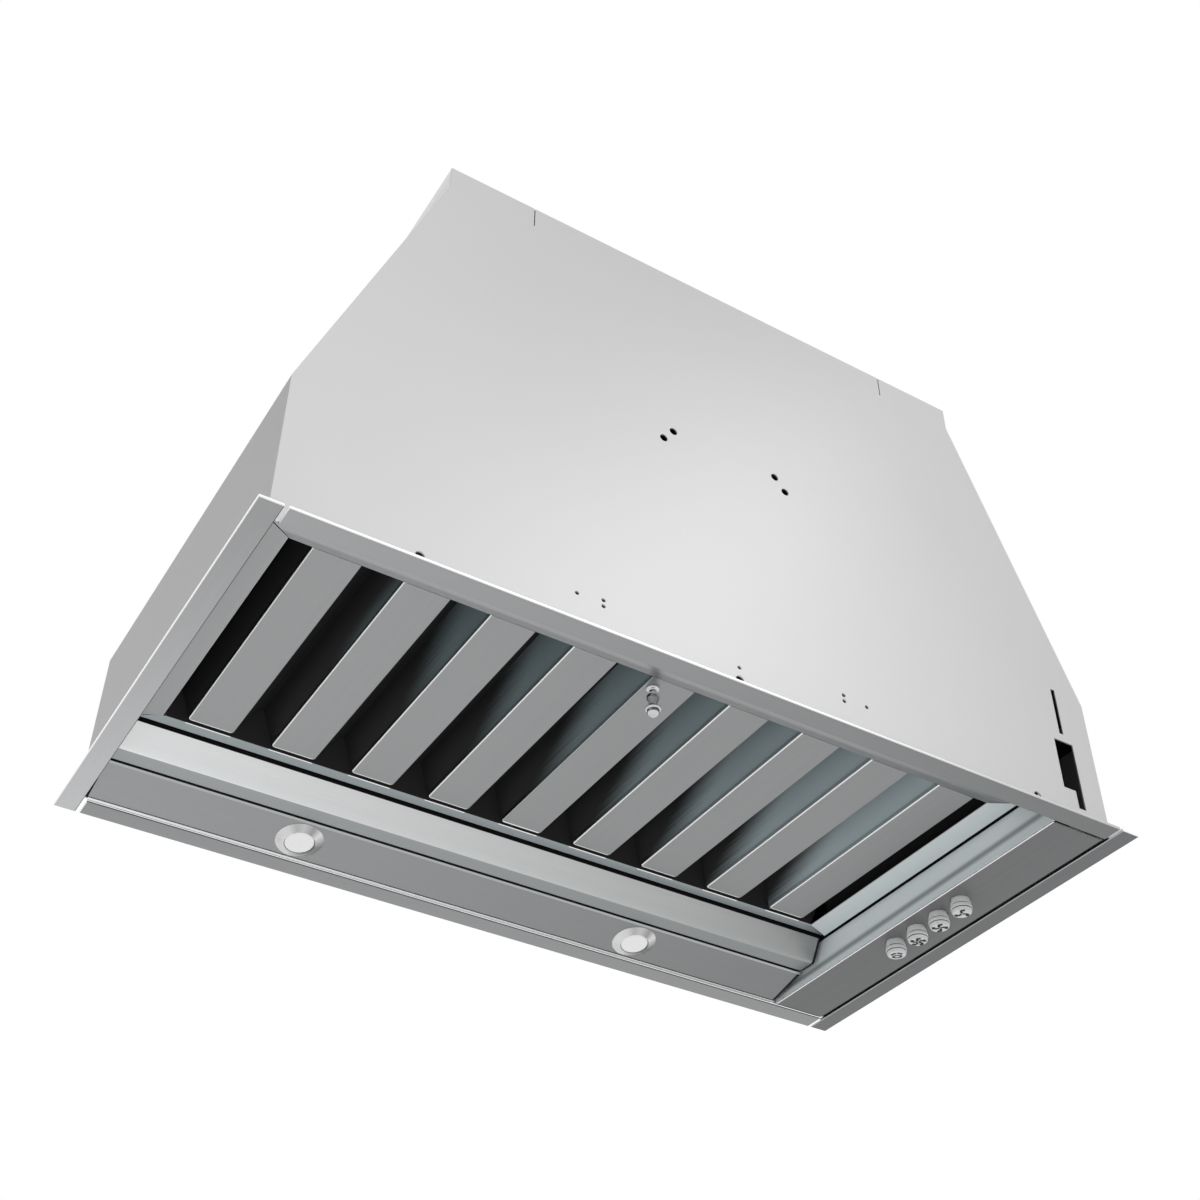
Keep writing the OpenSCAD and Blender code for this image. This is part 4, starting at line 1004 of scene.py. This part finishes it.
class HOOD_OT_filter(bpy.types.Operator):
    """Filter frame and baffles with rounded edges"""
    bl_idname = "hood.filter"
    bl_label = "Filter"
    FOOT_Z = 30.4
    FRONT_Y = -140.0
    INSIDE_Z = 31.05
    OUTSIDE = (240.0, 90.0)
    BLADE_TOP_Z = 30.8
    LIT_END_X = 245.0

    def execute(self, context):
        for side, foot in (("front", "front_foot_steel"), ("rear", "rear_foot_steel"), ("left", None),
                           ("right", "right_foot_steel")):
            softened(f"filter_{side}_rail", sizes().rail_edge, keep=self.at_lower_edge,
                     edge="gleam_steel" if side == "rear" else "soft_edge",
                     finish_for=self.rail_finish(foot))
        for i in range(1, BAFFLES + 1):
            softened(f"lower_baffle_{i}", sizes().baffle_edge, keep=self.at_lower_edge,
                     finish_for=self.baffle_finish, segments=3)
        # The upper baffles' edges get painted shade
        softened("upper_baffles", sizes().sheet_edge, edge="painted_shade_steel", finish_for=self.gable_finish)
        return {"FINISHED"}

    def at_lower_edge(self, place):
        """All lower edges but those along the front strip, which lie flush in the photo."""
        return place.z < self.FOOT_Z and place.y > self.FRONT_Y

    def rail_finish(self, foot):
        """The foot under the filter, the painted shade of the inside and mitres, and the plain steel of the
        outside.
        """
        def finish_for(place, normal, rounded):
            outward = normal.x * place.x > self.OUTSIDE[0] or normal.y * place.y > self.OUTSIDE[1]
            # Painted shade inside the frame and on the mitres
            if place.z > self.INSIDE_Z:
                return None if outward or normal.z > 0.5 else "painted_shade_steel"
            if abs(normal.x * normal.y) > 0.1 and not rounded:
                return "painted_shade_steel"
            return foot if normal.z < -0.9 else None
        return finish_for

    def baffle_finish(self, place, normal, rounded):
        """Painted highlight on the left and rear edges, on the left lip a painted reflection of what the
        opening mirrors, and painted shade above the blade's top.
        """
        if rounded:
            return "painted_highlight_edge" if normal.x < -0.1 or normal.y > 0.1 else SLOT_OF["lower_baffle_1"]
        if normal.x < -0.5:
            return "gable_painted_reflection"
        return "painted_shade_steel" if place.z > self.BLADE_TOP_Z else "blade_steel"

    def gable_finish(self, place, normal, rounded):
        """Plain on top, a painted reflection where the light from the left falls in, and painted shade
        elsewhere.
        """
        if normal.z > 0.2 and not rounded:
            return "blade_steel"
        lit = place.x < self.LIT_END_X and (rounded or (normal.z < 0 and normal.x < -0.2))
        return "gable_painted_reflection" if lit else "painted_shade_steel"


class HOOD_OT_knob(bpy.types.Operator):
    """Turned pull knob"""
    bl_idname = "hood.knob"
    bl_label = "Knob"

    def execute(self, context):
        centre = centre_of("pull_knob")
        outline = [(0, 34.0), (2.0, 34.0), (2.0, 30.0), (5.0, 30.0), (5.0, 28.4), (4.1, 27.9), (2.7, 27.2),
                   (2.6, 24.9), (3.7, 24.2), (5.0, 21.6), (4.7, 19.6), (2.6, 14.3), (3.4, 12.6), (6.0, 11.4),
                   (6.0, 10.2), (4.7, 9.8), (4.6, 7.2), (3.9, 5.9), (2.7, 4.9), (0, 4.8)]
        shape = turned(filleted(outline, 0.5), Matrix.Translation((centre.x, centre.y, 0)))
        piece = new_piece("pull_knob_turned", shape, "knob_metal", "filter", 60.0)
        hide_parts("pull_knob")
        return {"FINISHED"}


def stroke(points, width):
    """Outline of a line through points, with that width."""
    left, right = [], []
    for i, point in enumerate(points):
        ahead = Vector(points[min(i + 1, len(points) - 1)]) - Vector(points[max(i - 1, 0)])
        side = Vector((-ahead.y, ahead.x)).normalized() * width / 2
        left.append(tuple(Vector(point) + side))
        right.append(tuple(Vector(point) - side))
    return left + right[::-1]


def on_circle(radius, turn):
    return radius * math.cos(turn), radius * math.sin(turn)


def fan_sign(blades, size):
    """A hub ring with hooked blades round it."""
    outlines = ring_outlines(size * 0.2, size * 0.13, 16)
    for i in range(blades):
        turn = math.tau * (i / blades + 0.25)
        arm = [on_circle(size * (0.24 + 0.5 * t / 4), turn + 0.25 * math.sin(math.pi * t / 4))
               for t in range(5)]
        hook = [on_circle(size * (0.78 + 0.02 * t), turn + 0.08 - 0.11 * t) for t in range(-1, 6)]
        outlines += [stroke(arm, size * 0.34), stroke(hook, size * 0.46)]
    return outlines


def ring_outlines(radius, width, steps, flat=1.0, centre=(0, 0)):
    """A ring as four-cornered pieces. flat presses it to an ellipse."""
    corners = [[(centre[0] + r * math.cos(math.tau * i / steps),
                 centre[1] + flat * r * math.sin(math.tau * i / steps)) for i in range(steps + 1)]
               for r in (radius - width / 2, radius + width / 2)]
    return [[corners[0][i], corners[0][i + 1], corners[1][i + 1], corners[1][i]] for i in range(steps)]


def lamp_sign(size):
    """A wide lamp with rays over it."""
    outlines = ring_outlines(size * 0.52, size * 0.36, 20, 0.62, (0, -0.34 * size))
    for turn in (0.75, 1.25, 1.9, 2.4):
        start = Vector(on_circle(size * 0.62, turn)) - Vector((0, 0.22 * size))
        end = Vector(on_circle(size * 0.98, turn)) - Vector((0, 0.22 * size))
        outlines.append(stroke([tuple(start), tuple(end)], size * 0.38))
    return outlines


class HOOD_OT_buttons(bpy.types.Operator):
    """Push buttons with their printed signs"""
    bl_idname = "hood.buttons"
    bl_label = "Buttons"
    GROOVES = ((-5.88, -5.2), (-9.74, -9.06))
    END_Z = -12.6
    END_BAND_Z = -11.0
    PRINT_DEPTH = 0.1

    def execute(self, context):
        size = sizes().sign_size
        signs = {"light": lamp_sign(size), "high": fan_sign(5, size), "medium": fan_sign(4, size),
                 "low": fan_sign(3, size)}
        for key, outlines in signs.items():
            centre = centre_of(key + "_button")
            self.add_button(key, centre)
            self.add_sign(key, outlines, centre)
        return {"FINISHED"}

    def add_button(self, key, centre):
        outline = [(0, 12.0), (2.6, 12.0), (2.6, 2.8), (7.9, 2.8), (7.9, 0.2), (8.0, -0.2), (8.6, -4.9),
                   (8.4, -5.2), (7.8, -5.25), (7.8, -5.85), (8.8, -5.9), (9.0, -6.3), (9.0, -8.6),
                   (8.85, -9.05), (7.9, -9.1), (7.9, -9.7), (8.6, -9.75), (8.35, -11.3), (7.8, -12.2),
                   (7.1, self.END_Z), (0, self.END_Z)]
        shape = turned(filleted(outline, 0.2, 3), Matrix.Translation((centre.x, centre.y, 0)))
        for face in shape.faces:
            height = face.calc_center_median().z / MM
            # End faces get the brushed finish painted darker as their shade
            if face.normal.z < -0.35 and height < self.END_BAND_Z:
                face.material_index = 1
            # Groove faces get painted shade
            elif any(low < height < high for low, high in self.GROOVES):
                face.material_index = 2
        piece = new_piece(key + "_button_turned", shape, "button_plastic", key + "_key", 55.0,
                          ("button_plastic", "button_end_plastic", "button_groove_painted_shade"))
        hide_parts(key + "_button")

    def add_sign(self, key, outlines, centre):
        """Prints the outlines on the button's end, with their top towards the front left corner."""
        shape = bmesh.new()
        face_z = self.END_Z * MM
        turn = Matrix.Rotation(sizes().sign_turn, 2)
        for outline in outlines:
            flat = [turn @ Vector(point) for point in outline]
            low = [shape.verts.new((centre.x + x, centre.y - y, face_z - sizes().sign_height))
                   for x, y in flat]
            high = [shape.verts.new((v.co.x, v.co.y, face_z + self.PRINT_DEPTH * MM)) for v in low]
            shape.faces.new(low)
            shape.faces.new(list(reversed(high)))
            for i in range(len(low)):
                j = (i + 1) % len(low)
                shape.faces.new((low[j], low[i], high[i], high[j]))
        bmesh.ops.recalc_face_normals(shape, faces=shape.faces)
        new_piece(key + "_button_sign", shape, "button_plastic", key + "_key", 30.0, ("sign_print",))


class HOOD_OT_lamps(bpy.types.Operator):
    """Lamp bezels and lenses"""
    bl_idname = "hood.lamps"
    bl_label = "Lamps"

    def execute(self, context):
        s = sizes()
        run = Vector((0, s.lamp_back_y - s.lamp_front_y, s.lamp_back_z - s.lamp_front_z))
        share = 0.5 + s.lamp_shift / run.length
        middle_y = s.lamp_front_y + run.y * share
        middle_z = s.lamp_front_z + run.z * share
        tilt = Matrix.Rotation(math.atan2(run.z, run.y), 4, "X")
        for side in ("left", "right"):
            x = centre_of("lamp_lens_" + side).x
            place = Matrix.Translation((x, middle_y, middle_z)) @ tilt
            self.add_bezel(side, place)
            self.add_lens(side, place)
        return {"FINISHED"}

    def add_bezel(self, side, place):
        outline = [(12.3, 2.4), (12.3, -2.9), (12.7, -3.45), (13.4, -3.5), (14.2, -3.3), (19.0, -0.6),
                   (19.5, -0.15), (19.4, 0.0), (15.0, 0.0), (15.0, 2.4), (12.3, 2.4)]
        shape = turned(filleted(outline, 0.4, 3), place, 96)
        bmesh.ops.remove_doubles(shape, verts=shape.verts, dist=0.001 * MM)
        bmesh.ops.recalc_face_normals(shape, faces=shape.faces)
        piece = new_piece(f"lamp_bezel_{side}_turned", shape, "white_metal", "housing", 60.0,
                          (side + "_bezel_metal",))
        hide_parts("lamp_bezel_" + side)

    def add_lens(self, side, place):
        outline = [(0, -3.35), (6.0, -3.3), (10.0, -3.1), (11.6, -2.8), (12.0, -2.4), (12.0, -1.2),
                   (0, -1.2)]
        shape = turned(filleted(outline, 0.3, 3), place, 96)
        piece = new_piece(f"lamp_lens_{side}_domed", shape, "frosted_lens", "housing", 60.0)
        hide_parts("lamp_lens_" + side)


class HOOD_OT_blower(bpy.types.Operator):
    """Impeller with curved blades and rounded rings"""
    bl_idname = "hood.blower"
    bl_label = "Blower"
    RING = 3.0
    HUB_HOLE = 14.06
    BLADE_STEPS = 8

    def execute(self, context):
        low, high = (Vector(corner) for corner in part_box("impeller_frame"))
        centre = (low + high) / 2
        outer = (high.y - low.y) / 2
        self.add_blades(low, high, centre, outer)
        self.add_rings(low, high, centre, outer)
        return {"FINISHED"}

    def add_blades(self, low, high, centre, outer):
        """One curved blade, copied round the shaft."""
        shape = bmesh.new()
        thick, ring = sizes().blade_sheet, sizes().ring_width
        rows = []
        for i in range(self.BLADE_STEPS + 1):
            t = i / self.BLADE_STEPS
            radius = outer - ring + ring * (0.06 + 0.88 * t)
            angle = sizes().blade_sweep * (t - 0.5) + 0.05 * math.sin(math.pi * t)
            spread = thick / 2 / radius
            rows.append([shape.verts.new((x, *on_circle(radius, angle + lean)))
                         for x in (low.x + self.RING * MM, high.x - self.RING * MM)
                         for lean in (-spread, spread)])
        for near, far in zip(rows, rows[1:]):
            for a, b in ((0, 1), (1, 3), (3, 2), (2, 0)):
                shape.faces.new((near[a], near[b], far[b], far[a]))
        for row in (rows[0], rows[-1]):
            shape.faces.new((row[0], row[1], row[3], row[2]))
        bmesh.ops.recalc_face_normals(shape, faces=shape.faces)
        blades = grown("impeller_blades_curved", shape, copies_tree(), {
            "Count": sizes().blades, "Axis": (1.0, 0.0, 0.0), "Centre": (0.0, centre.y, centre.z),
            "Finish": finish_of("impeller_metal")}, "fan", 35.0)
        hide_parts("impeller_blades")

    def add_rings(self, low, high, centre, outer):
        """End rings and middle disc in one mesh."""
        rings = bmesh.new()
        turn = Matrix.Translation((0, centre.y, centre.z)) @ Matrix.Rotation(math.pi / 2, 4, "Y")
        inner, left, right = (outer - sizes().ring_width) / MM, low.x / MM, high.x / MM
        for start, end, hole, edge in ((left, left + self.RING, inner, outer / MM),
                                       (right - self.RING, right, inner, outer / MM),
                                       (-self.RING / 2, self.RING / 2, self.HUB_HOLE, inner + 0.4)):
            middle = (hole + edge) / 2
            outline = filleted([(middle, start), (edge, start), (edge, end), (hole, end), (hole, start),
                                (middle, start)], 0.5, 2)
            part = mesh_of("ring", turned(outline, turn, 96))
            rings.from_mesh(part)
            bpy.data.meshes.remove(part)
        bmesh.ops.remove_doubles(rings, verts=rings.verts, dist=0.001 * MM)
        bmesh.ops.recalc_face_normals(rings, faces=rings.faces)
        piece = new_piece("impeller_frame_rounded", rings, "impeller_metal", "fan")
        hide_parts("impeller_frame")


PIECE_OPERATORS = (HOOD_OT_finishes, HOOD_OT_housing, HOOD_OT_recess, HOOD_OT_filter, HOOD_OT_knob,
                   HOOD_OT_buttons, HOOD_OT_lamps, HOOD_OT_blower, HOOD_OT_stage)


class HOOD_PT_panel(bpy.types.Panel):
    """Buttons for each group of pieces, and the sizes and colours"""
    bl_idname = "HOOD_PT_panel"
    bl_label = "Range hood insert"
    bl_space_type = "VIEW_3D"
    bl_region_type = "UI"
    bl_category = "Hood"

    def draw(self, context):
        for operator in PIECE_OPERATORS:
            self.layout.operator(operator.bl_idname)
        for group in (context.scene.hood_sizes, context.scene.hood_colours):
            box = self.layout.box()
            for name in group.bl_rna.properties.keys():
                if name not in ("rna_type", "name"):
                    box.prop(group, name)


CLASSES = (HoodSizes, HoodColours) + PIECE_OPERATORS + (HOOD_PT_panel,)


def register():
    for item in CLASSES:
        bpy.utils.register_class(item)
    bpy.types.Scene.hood_sizes = bpy.props.PointerProperty(type=HoodSizes)
    bpy.types.Scene.hood_colours = bpy.props.PointerProperty(type=HoodColours)


def unregister():
    del bpy.types.Scene.hood_colours
    del bpy.types.Scene.hood_sizes
    for item in reversed(CLASSES):
        bpy.utils.unregister_class(item)


def main():
    register()
    for operator in PIECE_OPERATORS:
        group, name = operator.bl_idname.split(".")
        getattr(getattr(bpy.ops, group), name)()


if __name__ == "__main__":
    main()
